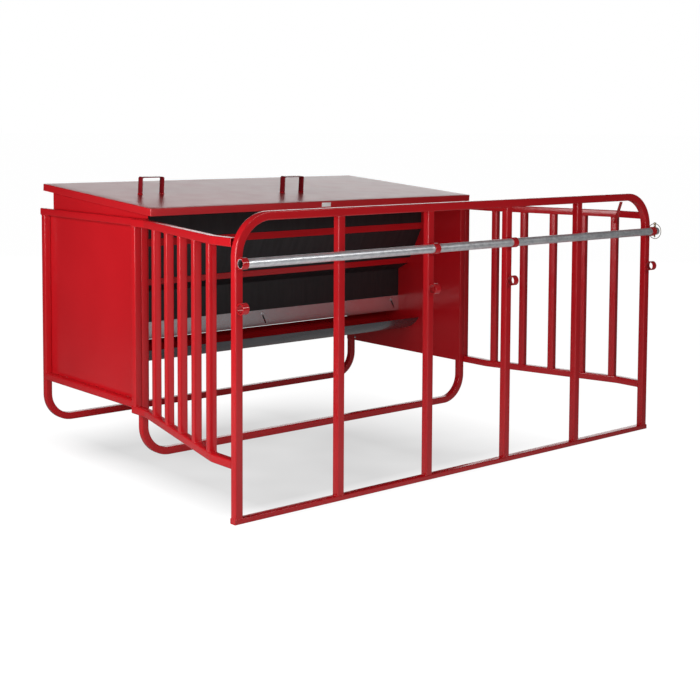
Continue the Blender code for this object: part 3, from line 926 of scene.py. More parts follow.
def paint_node(name: str, finish: Finish) -> None:
    """Give a frame node its finish.

    Args:
        name: The node's name.
        finish: The finish it gets.
    """
    item = FRAME[name]
    item.data.materials.clear()
    item.data.materials.append(finish.material())
    LOG.info("%s painted with %s", name, finish.name)


# ---------------------------------------------------------------------------
# Sub-assemblies
# ---------------------------------------------------------------------------


@dataclass
class TubeStock:
    """Sizes of the square tube that every frame is made of."""

    size: float = 0.040
    wall: float = 0.003
    corner: float = 0.0055

    @property
    def half(self) -> float:
        """Half of the tube's size."""
        return self.size / 2

    @property
    def section(self) -> tuple[float, float]:
        """The tube's outer section."""
        return self.size, self.size


@dataclass
class FrontGate:
    """Hoop, sill, uprights and the rings that hold the bar."""

    shop: Workshop
    stock: TubeStock = field(default_factory=TubeStock)
    bend: float = 0.175
    ring_radius: float = 0.026
    ring_bore: float = 0.0223
    ring_edge: float = 0.0008
    ring_weld: float = 0.0065
    weld_end: float = 0.002
    weld_sink: float = 0.0006
    sill_corner: float = 0.004
    plug_gap: float = 0.0002
    plug_ends: tuple[float, float] = (0.001, 0.012)
    uprights: int = 4
    rings: int = 4

    def build(self) -> None:
        """Make every piece of the gate."""
        self.hoop()
        self.sill()
        for number in range(1, self.uprights + 1):
            self.upright(f"front_upright_{number}")
        for level in ("upper", "lower"):
            for number in range(1, self.rings + 1):
                self.ring(f"{level}_ring_{number}")

    def hoop(self) -> None:
        """The bent tube that is both outer posts and the head."""
        low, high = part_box("front_gate_hoop")
        half = self.stock.half
        y = (low.y + high.y) / 2
        left, right, head = low.x + half, high.x - half, high.z - half
        path = [(left, y, low.z), (left, y, head), (right, y, head), (right, y, low.z)]
        mesh = self.shop.sweep("gate_hoop_tube", path, self.stock.section, (0.0, 1.0, 0.0), self.stock.corner,
                               self.bend, self.stock.wall, 24)
        self.shop.piece("gate_hoop_tube", mesh, [TUBE_RED], Body.FEEDER, Slot.RED, ["front_gate_hoop"])
        for x in (left, right):
            self.shop.weld_round(Body.FEEDER, Vector((x, y, low.z)), (0.0, 0.0, 1.0), (half, half))

    def sill(self) -> None:
        """The flat tube that the posts stand on, with its ends plugged."""
        low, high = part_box("front_gate_sill")
        y, z = (low.y + high.y) / 2, (low.z + high.z) / 2
        size = (high.z - low.z, high.y - low.y)
        mesh = self.shop.sweep("gate_sill_tube", [(low.x, y, z), (high.x, y, z)], size, (0.0, 0.0, 1.0),
                               self.sill_corner, wall=self.stock.wall)
        self.shop.piece("gate_sill_tube", mesh, [TUBE_RED], Body.FEEDER, Slot.RED, ["front_gate_sill"])
        inset = self.stock.wall + self.plug_gap
        for name, x, way in (("left", low.x, 1.0), ("right", high.x, -1.0)):
            ends = sorted(x + way * depth for depth in self.plug_ends)
            plug_low = Vector((ends[0], low.y + inset, low.z + inset))
            plug_high = Vector((ends[1], high.y - inset, high.z - inset))
            plug = self.shop.block(f"{name}_sill_plug", plug_low, plug_high, 0.001)
            self.shop.piece(f"{name}_sill_plug", plug, [TUBE_RED], Body.FEEDER, Slot.RED)

    def upright(self, node: str) -> None:
        """Make one upright between the sill and the hoop's head.

        Args:
            node: The frame node that it stands in for.
        """
        low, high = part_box(node)
        x, y = (low.x + high.x) / 2, (low.y + high.y) / 2
        mesh = self.shop.sweep(f"{node}_tube", [(x, y, low.z), (x, y, high.z)], self.stock.section,
                               (0.0, 1.0, 0.0), self.stock.corner, wall=self.stock.wall)
        self.shop.piece(f"{node}_tube", mesh, [TUBE_RED], Body.FEEDER, Slot.RED, [node])
        half = self.stock.half
        for z in (low.z, high.z):
            self.shop.weld_round(Body.FEEDER, Vector((x, y, z)), (0.0, 0.0, 1.0), (half, half))

    def ring(self, node: str) -> None:
        """Make one short tube ring with two welds where it touches its post.

        Args:
            node: The frame node that it stands in for.
        """
        low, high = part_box(node)
        centre = (low + high) / 2
        length, edge = high.x - low.x, self.ring_edge
        outer, bore = self.ring_radius, self.ring_bore
        profile = [(bore, edge), (bore + edge, 0.0), (outer - edge, 0.0), (outer, edge),
                   (outer, length - edge), (outer - edge, length), (bore + edge, length),
                   (bore, length - edge)]
        place = (low.x, centre.y, centre.z)
        mesh = self.shop.turned(f"{node}_tube", profile, (1.0, 0.0, 0.0), place, 56, closed=True)
        self.shop.piece(f"{node}_tube", mesh, [TUBE_RED], Body.FEEDER, Slot.RED, [node])
        for way in (-1.0, 1.0):
            start = Vector((low.x + self.weld_end, high.y - self.weld_sink, centre.z + way * self.ring_weld))
            finish = Vector((high.x - self.weld_end, start.y, start.z))
            self.shop.weld_line(Body.FEEDER, start, finish)


@dataclass
class DrawBar:
    """The loose pipe, its lock pin and the pin's spring ring."""

    shop: Workshop
    wall: float = 0.0032
    edge: float = 0.0008
    pin_radius: float = 0.0045
    head_radius: float = 0.008
    head_gap: float = 0.0003
    ring_wire: float = 0.002
    ring_gap: float = 0.003
    ring_steps: int = 96

    def build(self) -> None:
        """Make the pipe, the pin and the ring."""
        self.pipe()
        self.pin()
        self.spring_ring()

    def pipe(self) -> None:
        """The galvanised pipe with clean cut ends."""
        low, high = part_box("adjustable_bar")
        centre = (low + high) / 2
        outer = (high.z - low.z) / 2
        bore = outer - self.wall
        length, edge = high.x - low.x, self.edge
        steps = 24
        skin = [(outer, edge + (length - 2 * edge) * i / steps) for i in range(steps + 1)]
        profile = [(bore, edge), (bore + edge, 0.0), (outer - edge, 0.0), *skin, (outer - edge, length),
                   (bore + edge, length), (bore, length - edge)]
        mesh = self.shop.turned("adjustable_bar_pipe", profile, (1.0, 0.0, 0.0),
                                (low.x, centre.y, centre.z), 64, closed=True)
        item = self.shop.piece("adjustable_bar_pipe", mesh, [PIPE_ZINC, PIPE_BORE_SHADE], Body.BAR, Slot.ZINC,
                               ["adjustable_bar"])
        # Faces inside the bore get the near-black painted shade; the outside and the cut ends get the zinc.
        for face in item.data.polygons:
            reach = math.hypot(face.center.y - centre.y, face.center.z - centre.z)
            face.material_index = 1 if reach < bore + edge / 2 else 0

    def pin(self) -> None:
        """The lock pin with a collared head and a pointed tip."""
        low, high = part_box("lock_pin")
        centre = (low + high) / 2
        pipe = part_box("adjustable_bar")[1].z
        head = pipe - low.z + self.head_gap
        top = high.z - low.z
        radius, cap = self.pin_radius, self.head_radius
        waist = cap - 0.002
        point = [(0.0, 0.0), (radius * 0.45, 0.0), (radius * 0.8, 0.002), (radius, 0.006)]
        collar = [(radius, head), (cap - 0.0008, head), (cap, head + 0.0008), (cap, head + 0.005)]
        neck = [(waist, head + 0.007), (waist, top - 0.012)]
        crown = [(cap, top - 0.010), (cap, top - 0.003), (cap - 0.0012, top - 0.001), (cap - 0.003, top)]
        profile = [*point, *collar, *neck, *crown, (0.0, top)]
        mesh = self.shop.turned("lock_pin_shank", profile, (0.0, 0.0, 1.0), (centre.x, centre.y, low.z), 40)
        self.shop.piece("lock_pin_shank", mesh, [PASSIVATED], Body.PIN, Slot.YELLOW, ["lock_pin"])

    def spring_ring(self) -> None:
        """The flat spring ring that goes round the pipe and ends in the pin's head."""
        low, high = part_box("lock_pin_ring")
        centre = (low + high) / 2
        radius = (high.y - low.y) / 2 - self.ring_wire
        start = math.asin(self.ring_gap / radius)
        path = []
        for step in range(self.ring_steps + 1):
            angle = start + (math.tau - 2 * start) * step / self.ring_steps
            path.append(centre + radius * Vector((0.0, math.sin(angle), math.cos(angle))))
        mesh = self.shop.wire("lock_pin_spring_ring", path, self.ring_wire)
        self.shop.piece("lock_pin_spring_ring", mesh, [PASSIVATED], Body.PIN_RING, Slot.YELLOW,
                        ["lock_pin_ring"])


@dataclass
class SideGate:
    """One flared side gate: two bent rails, a stile and five bars."""

    shop: Workshop
    side: Side
    stock: TubeStock = field(default_factory=TubeStock)
    flare: float = 0.2508
    flare_front: float = 0.194
    bend: float = 0.120
    bars: int = 5

    def build(self) -> None:
        """Make the gate's tubes and note its welds."""
        word = self.side.word
        half = self.stock.half
        stile = middle(f"{word}_gate_stile")
        gate_low, gate_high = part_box("front_gate_hoop")
        post_x = gate_low.x + half if self.side is Side.LEFT else gate_high.x - half
        for rail in ("bottom", "top"):
            self.rail(f"{word}_gate_{rail}_rail", stile.x, post_x, gate_low.y)
        spin = self.side.value * math.atan(self.flare)
        self.upright(f"{word}_gate_stile", 0.0)
        for number in range(1, self.bars + 1):
            self.upright(f"{word}_gate_bar_{number}", spin)

    def rail(self, node: str, stile_x: float, post_x: float, front: float) -> None:
        """Make one bent rail between the gate's post and the hopper's front leg.

        Args:
            node: The frame node that it stands in for.
            stile_x: Middle of the stile along X.
            post_x: Middle of the gate's post along X.
            front: Front face of the gate along Y.
        """
        low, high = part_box(node)
        z = (low.z + high.z) / 2
        flare_front = front + self.flare_front
        flare_rear = flare_front + abs(post_x - stile_x) / self.flare
        path = [(stile_x, high.y, z), (stile_x, flare_rear, z), (post_x, flare_front, z), (post_x, low.y, z)]
        mesh = self.shop.sweep(f"{node}_tube", path, self.stock.section, (0.0, 0.0, 1.0), self.stock.corner,
                               self.bend, self.stock.wall, 10)
        self.shop.piece(f"{node}_tube", mesh, [TUBE_RED], Body.FEEDER, Slot.RED, [node])
        half = self.stock.half
        self.shop.weld_round(Body.FEEDER, Vector((post_x, low.y, z)), (0.0, 1.0, 0.0), (half, half))

    def upright(self, node: str, spin: float) -> None:
        """Make one bar or stile between the rails, turned with the flare.

        Args:
            node: The frame node that it stands in for.
            spin: Its turn about Z, in radians.
        """
        low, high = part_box(node)
        x, y = (low.x + high.x) / 2, (low.y + high.y) / 2
        plane = (-math.sin(spin), math.cos(spin), 0.0)
        mesh = self.shop.sweep(f"{node}_tube", [(x, y, low.z), (x, y, high.z)], self.stock.section, plane,
                               self.stock.corner, wall=self.stock.wall)
        self.shop.piece(f"{node}_tube", mesh, [TUBE_RED], Body.FEEDER, Slot.RED, [node])
        half = self.stock.half
        for z in (low.z, high.z):
            self.shop.weld_round(Body.FEEDER, Vector((x, y, z)), (0.0, 0.0, 1.0), (half, half), spin)


@dataclass
class CornerBrace:
    """The flat bar between the gate's head and the right side gate."""

    shop: Workshop
    weld_reach: float = 0.007

    def build(self) -> None:
        """Give the frame's own bar its paint and a weld at each end."""
        paint_node("gate_corner_brace", TUBE_RED)
        low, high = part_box("gate_corner_brace")
        reach = Vector((self.weld_reach, 0.0, 0.0))
        for spot in (Vector((low.x + 0.006, low.y + 0.007, high.z - 0.002)),
                     Vector((high.x - 0.006, high.y - 0.007, low.z + 0.002))):
            self.shop.weld_line(Body.FEEDER, spot - reach, spot + reach)


@dataclass
class HopperFrame:
    """Two bent skids and the rails that join them at each end."""

    shop: Workshop
    stock: TubeStock = field(default_factory=TubeStock)
    bend: float = 0.150

    def build(self) -> None:
        """Make the frame's tubes."""
        for node in ("front_skid_leg", "rear_skid_leg"):
            self.skid(node)
        for side in Side:
            for rail in ("top", "bottom"):
                self.end_rail(f"{side.word}_end_{rail}_rail")

    def skid(self, node: str) -> None:
        """Make one U-shaped skid with its two legs.

        Args:
            node: The frame node that it stands in for.
        """
        low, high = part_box(node)
        half = self.stock.half
        y, foot = (low.y + high.y) / 2, low.z + half
        left, right = low.x + half, high.x - half
        path = [(left, y, high.z), (left, y, foot), (right, y, foot), (right, y, high.z)]
        mesh = self.shop.sweep(f"{node}_tube", path, self.stock.section, (0.0, 1.0, 0.0), self.stock.corner,
                               self.bend, self.stock.wall, 24)
        self.shop.piece(f"{node}_tube", mesh, [TUBE_RED], Body.FEEDER, Slot.RED, [node])
        for x in (left, right):
            self.shop.weld_round(Body.FEEDER, Vector((x, y, high.z)), (0.0, 0.0, 1.0), (half, half))

    def end_rail(self, node: str) -> None:
        """Make one straight rail along the end of the hopper.

        Args:
            node: The frame node that it stands in for.
        """
        low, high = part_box(node)
        x, z = (low.x + high.x) / 2, (low.z + high.z) / 2
        mesh = self.shop.sweep(f"{node}_tube", [(x, low.y, z), (x, high.y, z)], self.stock.section,
                               (0.0, 0.0, 1.0), self.stock.corner, wall=self.stock.wall)
        self.shop.piece(f"{node}_tube", mesh, [TUBE_RED], Body.FEEDER, Slot.RED, [node])
        if "bottom" in node:
            half = self.stock.half
            for y in (low.y, high.y):
                self.shop.weld_round(Body.FEEDER, Vector((x, y, z)), (0.0, 1.0, 0.0), (half, half))


@dataclass
class HopperSheets:
    """End panels, back sheet, black front sheet, strips and the round-bottomed trough."""

    shop: Workshop
    sheet: float = 0.002
    edge: float = 0.0004
    fold: float = 0.006
    face_fold_height: float = 1.083
    brow_depth: float = 0.124
    brow_height: float = 0.850
    throat_height: float = 0.800
    trough_steps: int = 48
    lip_drop: float = 0.0013
    lip_gap: float = 0.0008
    stitch_pitch: float = 0.30
    stitch_half: float = 0.014
    stitch_lift: float = 0.0006
    stitch_gap: float = 0.0012

    def build(self) -> None:
        """Dress the flat sheets, fold the front sheet and roll the trough."""
        for node in ("left_end_panel", "right_end_panel", "hopper_back_sheet", "upper_front_strip",
                     "lower_front_strip"):
            paint_node(node, SHEET_RED)
        self.front_sheet()
        self.trough()
        self.panel_stitches()
        self.panel_bolt()

    def front_sheet(self) -> None:
        """The black sheet, folded in at the brow and down to the throat."""
        low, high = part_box("hopper_front_sheet")
        x = (low.x + high.x) / 2
        face, throat = low.y + self.sheet / 2, high.y - self.sheet / 2
        path = [(x, face, high.z - 0.002), (x, face, self.face_fold_height),
                (x, face + self.brow_depth, self.brow_height), (x, throat, self.throat_height),
                (x, throat, low.z)]
        mesh = self.shop.sweep("hopper_front_fold", path, (high.x - low.x, self.sheet), (1.0, 0.0, 0.0),
                               self.edge, self.fold, bend_points=8)
        self.shop.piece("hopper_front_fold", mesh, [BLACK], Body.FEEDER, Slot.BLACK, ["hopper_front_sheet"])

    def trough(self) -> None:
        """The rolled trough: painted inside, dark outside."""
        low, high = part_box("feed_trough")
        x = (low.x + high.x) / 2
        half, depth = (high.y - low.y) / 2, high.z - low.z - self.lip_drop
        radius = (half ** 2 + depth ** 2) / (2 * depth) - self.sheet / 2
        centre_y, centre_z = (low.y + high.y) / 2, low.z + self.sheet / 2 + radius
        reach = math.asin((half - self.lip_gap) / (radius + self.sheet / 2))
        path = []
        for step in range(self.trough_steps + 1):
            angle = reach * (2 * step / self.trough_steps - 1.0)
            path.append((x, centre_y + radius * math.sin(angle), centre_z - radius * math.cos(angle)))
        mesh = self.shop.sweep("feed_trough_roll", path, (high.x - low.x, self.sheet), (1.0, 0.0, 0.0),
                               self.edge)
        item = self.shop.piece("feed_trough_roll", mesh, [TROUGH_SKIN, SHEET_RED], Body.FEEDER, Slot.TROUGH,
                               ["feed_trough"])
        axis = Vector((0.0, centre_y, centre_z))
        for face in item.data.polygons:
            inward = axis - Vector((0.0, face.center.y, face.center.z))
            face.material_index = 0 if face.normal.dot(inward) < 0.0 else 1

    def panel_stitches(self) -> None:
        """Short welds that hold each end panel to the inner edges of its frame."""
        for side in Side:
            low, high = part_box(f"{side.word}_end_panel")
            frame_low, frame_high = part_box(f"{side.word}_end_bottom_rail")
            x = high.x if side is Side.RIGHT else low.x
            x += side.value * self.stitch_lift
            count = int((frame_high.y - frame_low.y) / self.stitch_pitch)
            rail_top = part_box(f"{side.word}_end_top_rail")[0].z
            for number in range(count):
                y = frame_low.y + (number + 0.5) * (frame_high.y - frame_low.y) / count
                for z in (frame_high.z + self.stitch_gap, rail_top - self.stitch_gap):
                    self.shop.weld_line(Body.FEEDER, Vector((x, y - self.stitch_half, z)),
                                        Vector((x, y + self.stitch_half, z)))

    def panel_bolt(self) -> None:
        """The small bright bolt low at the back of the right end panel, on its inner face."""
        low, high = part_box("right_end_panel")
        head = [(0.0, 0.0), (0.0085, 0.0), (0.0085, 0.0012), (0.0065, 0.0014), (0.0062, 0.0045),
                (0.0045, 0.0062), (0.0, 0.0066)]
        place = (low.x, high.y - 0.090, low.z + 0.022)
        mesh = self.shop.turned("right_panel_bolt", head, (-1.0, 0.0, 0.0), place, 24)
        self.shop.piece("right_panel_bolt", mesh, [SMALL_ZINC], Body.FEEDER, Slot.ZINC)


@dataclass
class FeedGate:
    """The slotted slide and its three hexagon bolts."""

    shop: Workshop
    bolts: int = 3
    head: float = 0.0085
    washer: float = 0.0011
    seat_gap: float = 0.0003

    def build(self) -> None:
        """Dress the slide and make each bolt."""
        paint_node("feed_slide", SHEET_ZINC)
        for number in range(1, self.bolts + 1):
            self.bolt(f"slide_bolt_{number}")

    def bolt(self, node: str) -> None:
        """Make one hexagon head on a round washer.

        Args:
            node: The frame node that it stands in for.
        """
        low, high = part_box(node)
        centre = (low + high) / 2
        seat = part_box("feed_slide")[0].y - self.seat_gap
        plate = self.shop.turned("washer", [(0.0, 0.0), (self.head, 0.0), (self.head, self.washer * 0.8),
                                            (self.head - 0.0004, self.washer), (0.0, self.washer)],
                                 (0.0, -1.0, 0.0), (centre.x, seat, centre.z), 32)
        reach = self.head * 0.93
        depth = seat - low.y - self.washer - 0.0002
        chamfer = 0.0012
        head = self.shop.turned("head", [(0.0, 0.0), (reach, 0.0), (reach, depth - chamfer),
                                         (reach - chamfer, depth), (0.0, depth)],
                                (0.0, -1.0, 0.0), (centre.x, seat - self.washer, centre.z), 6)
        mesh = self.shop.joined(f"{node}_hexagon", [plate, head])
        self.shop.piece(f"{node}_hexagon", mesh, [SMALL_ZINC], Body.FEEDER, Slot.ZINC, [node])


@dataclass
class Lid:
    """The folded lid with its handles, blank plate and hinge eyes."""

    shop: Workshop
    sheet: float = 0.0025
    lip: float = 0.040
    rise: float = 0.0843
    run: float = 1.1847
    fold: float = 0.0035
    wave: float = 0.0011
    handle: tuple[float, float] = (0.146, 0.097)
    strap: tuple[float, float] = (0.044, 0.005)
    strap_edge: float = 0.001
    strap_bend: float = 0.0085
    strap_lift: float = 0.0003
    weld_lift: float = 0.0004
    weld_end: float = 0.002
    cells: tuple[int, int] = (36, 20)
    plate_half: tuple[float, float] = (0.0005, 0.012)
    plate_edge: float = 0.0002
    rivet_inset: float = 0.005

    def build(self) -> None:
        """Make the lid's pieces and paint its eyes."""
        self.cover()
        for name in ("left_lid_handle", "middle_lid_handle"):
            self.grip(name)
        self.plate()
        for node in ("lid_hinge_eye_1", "lid_hinge_eye_2"):
            paint_node(node, TUBE_RED)

    @property
    def slope(self) -> float:
        """The lid's slope, in radians."""
        return math.atan2(self.rise, self.run)

    def frame(self) -> Matrix:
        """Find the lid's own frame, with its origin at the middle of the front top edge.

        Returns:
            The matrix from the lid's frame to the row frame.
        """
        low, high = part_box("lid")
        front = Vector(((low.x + high.x) / 2, low.y, low.z + self.lip * math.cos(self.slope)))
        return Matrix.Translation(front) @ Matrix.Rotation(self.slope, 4, "X")

    def length(self) -> float:
        """Find the lid's length along its slope.

        Returns:
            The length in metres.
        """
        low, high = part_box("lid")
        return (high.y - low.y - self.lip * math.sin(self.slope)) / math.cos(self.slope)

    def cover(self) -> None:
        """The lid's sheet: a top with a faint wave and four lips folded down."""
        low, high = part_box("lid")
        width, length = high.x - low.x, self.length()
        columns, rows = self.cells
        work = bmesh.new()
        grid: list[list[bmesh.types.BMVert]] = []
        for row in range(rows + 1):
            line = []
            for column in range(columns + 1):
                u, v = column / columns, row / rows
                fade = min(1.0, 8.0 * min(u, 1.0 - u), 6.0 * min(v, 1.0 - v))
                sag = 0.55 + 0.25 * math.sin(5.3 * u + 2.1 * v) + 0.20 * math.cos(9.0 * u - 6.0 * v)
                place = ((u - 0.5) * width, v * length, -self.wave * sag * max(fade, 0.0))
                line.append(work.verts.new(place))
            grid.append(line)
        for row in range(rows):
            for column in range(columns):
                work.faces.new((grid[row][column], grid[row][column + 1], grid[row + 1][column + 1],
                                grid[row + 1][column]))
        rim = [edge for edge in work.edges if edge.is_boundary]
        grown = bmesh.ops.extrude_edge_only(work, edges=rim)["geom"]
        bottom = [item for item in grown if isinstance(item, bmesh.types.BMVert)]
        bmesh.ops.translate(work, verts=bottom, vec=(0.0, 0.0, -self.lip))
        folds = [edge for edge in work.edges if len(edge.link_faces) == 2
                 and edge.calc_face_angle(0.0) > math.radians(60.0)]
        bmesh.ops.recalc_face_normals(work, faces=work.faces)
        bmesh.ops.bevel(work, geom=folds, offset=self.fold, segments=4, profile=0.5, affect="EDGES")
        if sum(face.normal.z for face in work.faces) < 0.0:
            bmesh.ops.reverse_faces(work, faces=work.faces)
        mesh = bpy.data.meshes.new("lid_cover")
        work.to_mesh(mesh)
        work.free()
        item = bpy.data.objects.new("lid_cover", mesh)
        bpy.context.scene.collection.objects.link(item)
        shell = item.modifiers.new("sheet", "SOLIDIFY")
        shell.thickness = self.sheet
        shell.offset = -1.0
        cover = self.shop.evaluate(item, "lid_cover")
        cover.transform(self.frame())
        self.shop.piece("lid_cover", self.shop.smooth(cover), [LID_RED], Body.LID, Slot.RED, ["lid"])

    def grip(self, node: str) -> None:
        """Bend one strap into a handle, with a weld on each side of its feet.

        Args:
            node: The frame node that it stands in for.
        """
        frame = self.frame()
        local = frame.inverted() @ middle(node)
        half, height = self.handle[0] / 2, self.handle[1]
        depth, thick = self.strap
        inset = thick / 2
        side, top = half - inset, height - inset
        path = [(-side, 0.0, 0.0), (-side, 0.0, top), (side, 0.0, top), (side, 0.0, 0.0)]
        mesh = self.shop.sweep(f"{node}_strap", path, (depth, thick), (0.0, 1.0, 0.0), self.strap_edge,
                               self.strap_bend, bend_points=10)
        place = frame @ Matrix.Translation((local.x, local.y, self.strap_lift))
        mesh.transform(place)
        # The strap takes the darker red, which is painted shade on the lid's own paint.
        self.shop.piece(f"{node}_strap", mesh, [SHADED_HANDLE_RED], Body.LID, Slot.RED, [node])
        for way in (-1.0, 1.0):
            for face in (-1.0, 1.0):
                x = way * side + face * inset
                start = place @ Vector((x, -depth / 2 + self.weld_end, self.weld_lift))
                finish = place @ Vector((x, depth / 2 - self.weld_end, self.weld_lift))
                self.shop.weld_line(Body.LID, start, finish)

    def plate(self) -> None:
        """The blank plate on the front lip, held by two rivets."""
        low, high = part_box("lid_plate")
        turn = Matrix.Rotation(self.slope, 3, "X")
        centre = (low + high) / 2
        half = Vector(((high.x - low.x) / 2, *self.plate_half))
        mesh = self.shop.block("blank_plate", centre - half, centre + half, self.plate_edge, turn)
        self.shop.piece("blank_plate", mesh, [WHITE], Body.LID, Slot.WHITE, ["lid_plate"])
        outward = turn @ Vector((0.0, -1.0, 0.0))
        rivet = [(0.0, 0.0), (0.0019, 0.0), (0.0017, 0.0005), (0.0010, 0.0009), (0.0, 0.0010)]
        heads = []
        for way in (-1.0, 1.0):
            place = centre + Vector((way * (half.x - self.rivet_inset), 0.0, 0.0)) + outward * half.y
            heads.append(self.shop.turned("rivet", rivet, tuple(outward), tuple(place), 16))
        mesh = self.shop.joined("blank_plate_rivets", heads)
        self.shop.piece("blank_plate_rivets", mesh, [SMALL_ZINC], Body.LID, Slot.ZINC)


@dataclass
class LidHinge:
    """The rod and brackets along the back of the hopper."""

    shop: Workshop
    rod_radius: float = 0.006
    rod_edge: float = 0.001
    weld_gap: float = 0.0006
    weld_end: float = 0.003

    def build(self) -> None:
        """Turn the rod and paint the brackets."""
        low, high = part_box("lid_hinge_rod")
        centre = (low + high) / 2
        length, edge, radius = high.x - low.x, self.rod_edge, self.rod_radius
        profile = [(0.0, 0.0), (radius - edge, 0.0), (radius, edge), (radius, length - edge),
                   (radius - edge, length), (0.0, length)]
        mesh = self.shop.turned("lid_hinge_bar", profile, (1.0, 0.0, 0.0), (low.x, centre.y, centre.z), 32)
        self.shop.piece("lid_hinge_bar", mesh, [SMALL_ZINC], Body.FEEDER, Slot.ZINC, ["lid_hinge_rod"])
        for node in ("lid_hinge_bracket_1", "lid_hinge_bracket_2"):
            paint_node(node, TUBE_RED)
            low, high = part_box(node)
            y = low.y + self.weld_gap
            for x in (low.x - self.weld_gap, high.x + self.weld_gap):
                self.shop.weld_line(Body.FEEDER, Vector((x, y, low.z + self.weld_end)),
                                    Vector((x, y, high.z - self.weld_end)))


# ---------------------------------------------------------------------------
# Studio
# ---------------------------------------------------------------------------


@dataclass(frozen=True)
class Card:
    """One soft rectangular light: place, aim and size in metres, power in watts."""

    name: str
    place: Point
    aim: Point
    size: tuple[float, float]
    power: float

    def hang(self) -> None:
        """Put the light in the scene, out of the camera's sight."""
        data = bpy.data.lights.new(self.name, "AREA")
        data.shape = "RECTANGLE"
        data.size, data.size_y = self.size
        data.energy = self.power
        light = bpy.data.objects.new(self.name, data)
        bpy.context.scene.collection.objects.link(light)
        light.location = self.place
        light.rotation_mode = "QUATERNION"
        light.rotation_quaternion = (Vector(self.aim) - Vector(self.place)).to_track_quat("-Z", "Y")
        light.visible_camera = False


CARDS = (
    Card("key_light", (-3.9, -0.3, 1.7), (-1.2, 0.4, 0.7), (2.2, 1.8), 90.0),
    Card("front_key", (-3.4, -3.9, 1.7), (-1.7, -1.0, 0.8), (1.3, 1.3), 30.0),
    Card("front_strip", (1.0, -4.8, 3.0), (-1.6, -1.2, 1.2), (2.4, 0.8), 44.0),
    Card("edge_strip", (-4.6, -3.4, 1.1), (-1.45, -1.15, 0.9), (0.35, 1.9), 17.0),
    Card("back_card", (6.0, 7.0, 2.6), (0.0, 0.5, 1.2), (9.0, 3.6), 148.0),
)


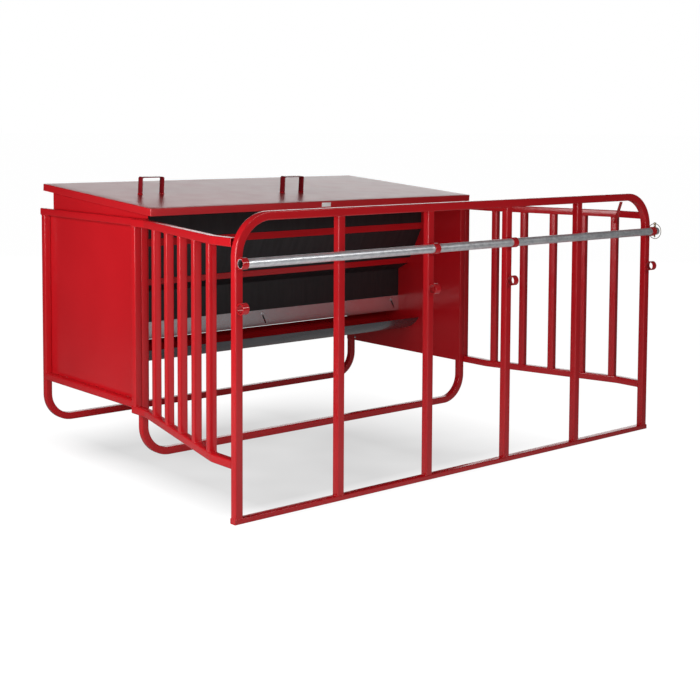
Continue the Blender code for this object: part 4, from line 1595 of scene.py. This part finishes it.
@dataclass
class Studio:
    """Pale floor, soft lights, world and camera."""

    lens: float = 67.23
    shift_y: float = -0.1929
    eye: Point = (-3.2689, -4.6256, 1.7647)
    yaw: float = 0.7027
    pitch: float = 0.0693
    roll: float = 0.0053
    sensor: float = 36.0
    floor_size: float = 400.0
    shade_x: tuple[float, float] = (-1.50, 0.9)
    shade_y: tuple[float, float] = (-1.20, 1.0)
    shade_depth: float = 0.38
    floor_white: float = 0.99
    floor_glow: float = 0.42
    floor_matt: Colour = (0.10, 0.10, 0.102)
    floor_pale: Colour = (0.35, 0.35, 0.35)

    def build(self) -> None:
        """Set up everything round the feeder."""
        bpy.context.scene.view_settings.view_transform = "Standard"
        self.camera()
        self.world()
        self.floor()
        for card in CARDS:
            card.hang()

    def camera(self) -> None:
        """Place the camera from the gate's front left foot."""
        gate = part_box("front_gate_hoop")[0]
        yaw, pitch, roll = self.yaw, self.pitch, self.roll
        ahead = Vector((math.sin(yaw), math.cos(yaw), 0.0))
        forward = ahead * math.cos(pitch) - Vector((0.0, 0.0, math.sin(pitch)))
        level = Vector((math.cos(yaw), -math.sin(yaw), 0.0))
        upright = level.cross(forward)
        right = level * math.cos(roll) + upright * math.sin(roll)
        up = upright * math.cos(roll) - level * math.sin(roll)
        data = bpy.data.cameras.new("camera")
        data.lens = self.lens
        data.sensor_width = self.sensor
        data.shift_y = self.shift_y
        camera = bpy.data.objects.new("camera", data)
        bpy.context.scene.collection.objects.link(camera)
        turn = Matrix((right, up, -forward)).transposed()
        place = Vector((gate.x, gate.y, 0.0)) + Vector(self.eye)
        camera.matrix_world = Matrix.Translation(place) @ turn.to_4x4()
        bpy.context.scene.camera = camera

    def world(self) -> None:
        """White to the eye, a soft graded room to the surfaces."""
        world = bpy.data.worlds.new("studio")
        bpy.context.scene.world = world
        world.use_nodes = True
        tree = world.node_tree
        tree.nodes.clear()
        nodes = Nodes(tree)
        way = nodes.split(nodes.add("ShaderNodeTexCoord").outputs["Generated"])
        height = nodes.spread(way["Z"], -0.05, 0.6, 0.5, 1.0)
        across = nodes.maths("SUBTRACT", way["X"], way["Y"])
        bright = nodes.spread(across, -1.0, 1.2, 0.015, 0.09)
        room = nodes.add("ShaderNodeBackground")
        nodes.join(nodes.product(height, bright), room.inputs["Strength"])
        white = nodes.add("ShaderNodeBackground", {"Strength": 1.0})
        for node in (room, white):
            node.inputs["Color"].default_value = (1.0, 1.0, 1.0, 1.0)
        self.show(nodes, room.outputs[0], white.outputs[0], "ShaderNodeOutputWorld")

    def floor(self) -> None:
        """A wide pale floor that takes soft shadows."""
        work = bmesh.new()
        bmesh.ops.create_grid(work, x_segments=1, y_segments=1, size=self.floor_size / 2)
        mesh = bpy.data.meshes.new("floor")
        work.to_mesh(mesh)
        work.free()
        floor = bpy.data.objects.new("floor", mesh)
        bpy.context.scene.collection.objects.link(floor)
        material = bpy.data.materials.new("pale_floor")
        material.use_nodes = True
        tree = material.node_tree
        tree.nodes.clear()
        nodes = Nodes(tree)
        coords = nodes.add("ShaderNodeTexCoord").outputs["Object"]
        spot = nodes.split(coords)
        shade = self.pen_shade(nodes, coords, spot)
        seen = nodes.add("ShaderNodeEmission")
        bright = nodes.spread(shade, 0.0, 1.0, self.floor_white, self.floor_white - self.shade_depth)
        nodes.join(bright, seen.inputs["Strength"])
        matt = nodes.add("ShaderNodeBsdfDiffuse", {"Color": (*self.floor_matt, 1.0)})
        shown = nodes.add("ShaderNodeAddShader")
        nodes.join(seen.outputs[0], shown.inputs[0])
        nodes.join(matt.outputs[0], shown.inputs[1])
        glow = nodes.add("ShaderNodeEmission")
        across = nodes.maths("SUBTRACT", spot["X"], spot["Y"])
        near = nodes.spread(across, -1.6, 1.0, 0.02, self.floor_glow)
        fading = nodes.spread(spot["X"], -0.8, 2.4, 1.0, 0.12)
        nodes.join(nodes.product(near, fading), glow.inputs["Strength"])
        pale = nodes.add("ShaderNodeBsdfDiffuse", {"Color": (*self.floor_pale, 1.0)})
        bounce = nodes.add("ShaderNodeAddShader")
        nodes.join(glow.outputs[0], bounce.inputs[0])
        nodes.join(pale.outputs[0], bounce.inputs[1])
        self.show(nodes, bounce.outputs[0], shown.outputs[0], "ShaderNodeOutputMaterial")
        mesh.materials.append(material)

    def pen_shade(self, nodes: Nodes, coords: bpy.types.NodeSocket,
                  spot: bpy.types.NodeOutputs) -> bpy.types.NodeSocket:
        """Draw the soft shade on the floor inside the pen.

        Args:
            nodes: The floor's node tree.
            coords: Object coordinates.
            spot: Their X, Y and Z.

        Returns:
            The shade's socket, 1 where it is deepest.
        """
        left, right = self.shade_x
        front, back = self.shade_y
        return nodes.product(nodes.spread(spot["X"], left, left + 0.30, 0.0, 1.0),
                             nodes.spread(spot["X"], right - 0.9, right, 1.0, 0.0),
                             nodes.spread(spot["Y"], front, front + 0.25, 0.0, 1.0),
                             nodes.spread(spot["Y"], back - 0.6, back, 1.0, 0.0),
                             nodes.spread(nodes.noise(coords, 1.3, 2.0, 0.5), 0.30, 0.66, 0.75, 1.0))

    def show(self, nodes: Nodes, lit: bpy.types.NodeSocket, seen: bpy.types.NodeSocket, output: str) -> None:
        """Show one shader to the camera and the other to everything else.

        Args:
            nodes: The tree that gets its output here.
            lit: Shader that lights and mirrors in the feeder.
            seen: Shader that the camera sees.
            output: Blender's type name for the output node.
        """
        rays = nodes.add("ShaderNodeLightPath")
        mix = nodes.add("ShaderNodeMixShader")
        nodes.join(rays.outputs["Is Camera Ray"], mix.inputs[0])
        nodes.join(lit, mix.inputs[1])
        nodes.join(seen, mix.inputs[2])
        nodes.join(mix.outputs[0], nodes.add(output).inputs["Surface"])


def main() -> None:
    """Load the frame, build every sub-assembly, and set up the studio."""
    logging.basicConfig(level=logging.INFO, format="%(message)s")
    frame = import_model()
    FRAME.update(frame["nodes"])
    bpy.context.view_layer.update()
    shop = Workshop()
    FrontGate(shop).build()
    DrawBar(shop).build()
    for side in Side:
        SideGate(shop, side).build()
    CornerBrace(shop).build()
    HopperFrame(shop).build()
    HopperSheets(shop).build()
    FeedGate(shop).build()
    Lid(shop).build()
    LidHinge(shop).build()
    shop.lay_welds()
    Studio().build()


if __name__ == "__main__":
    main()
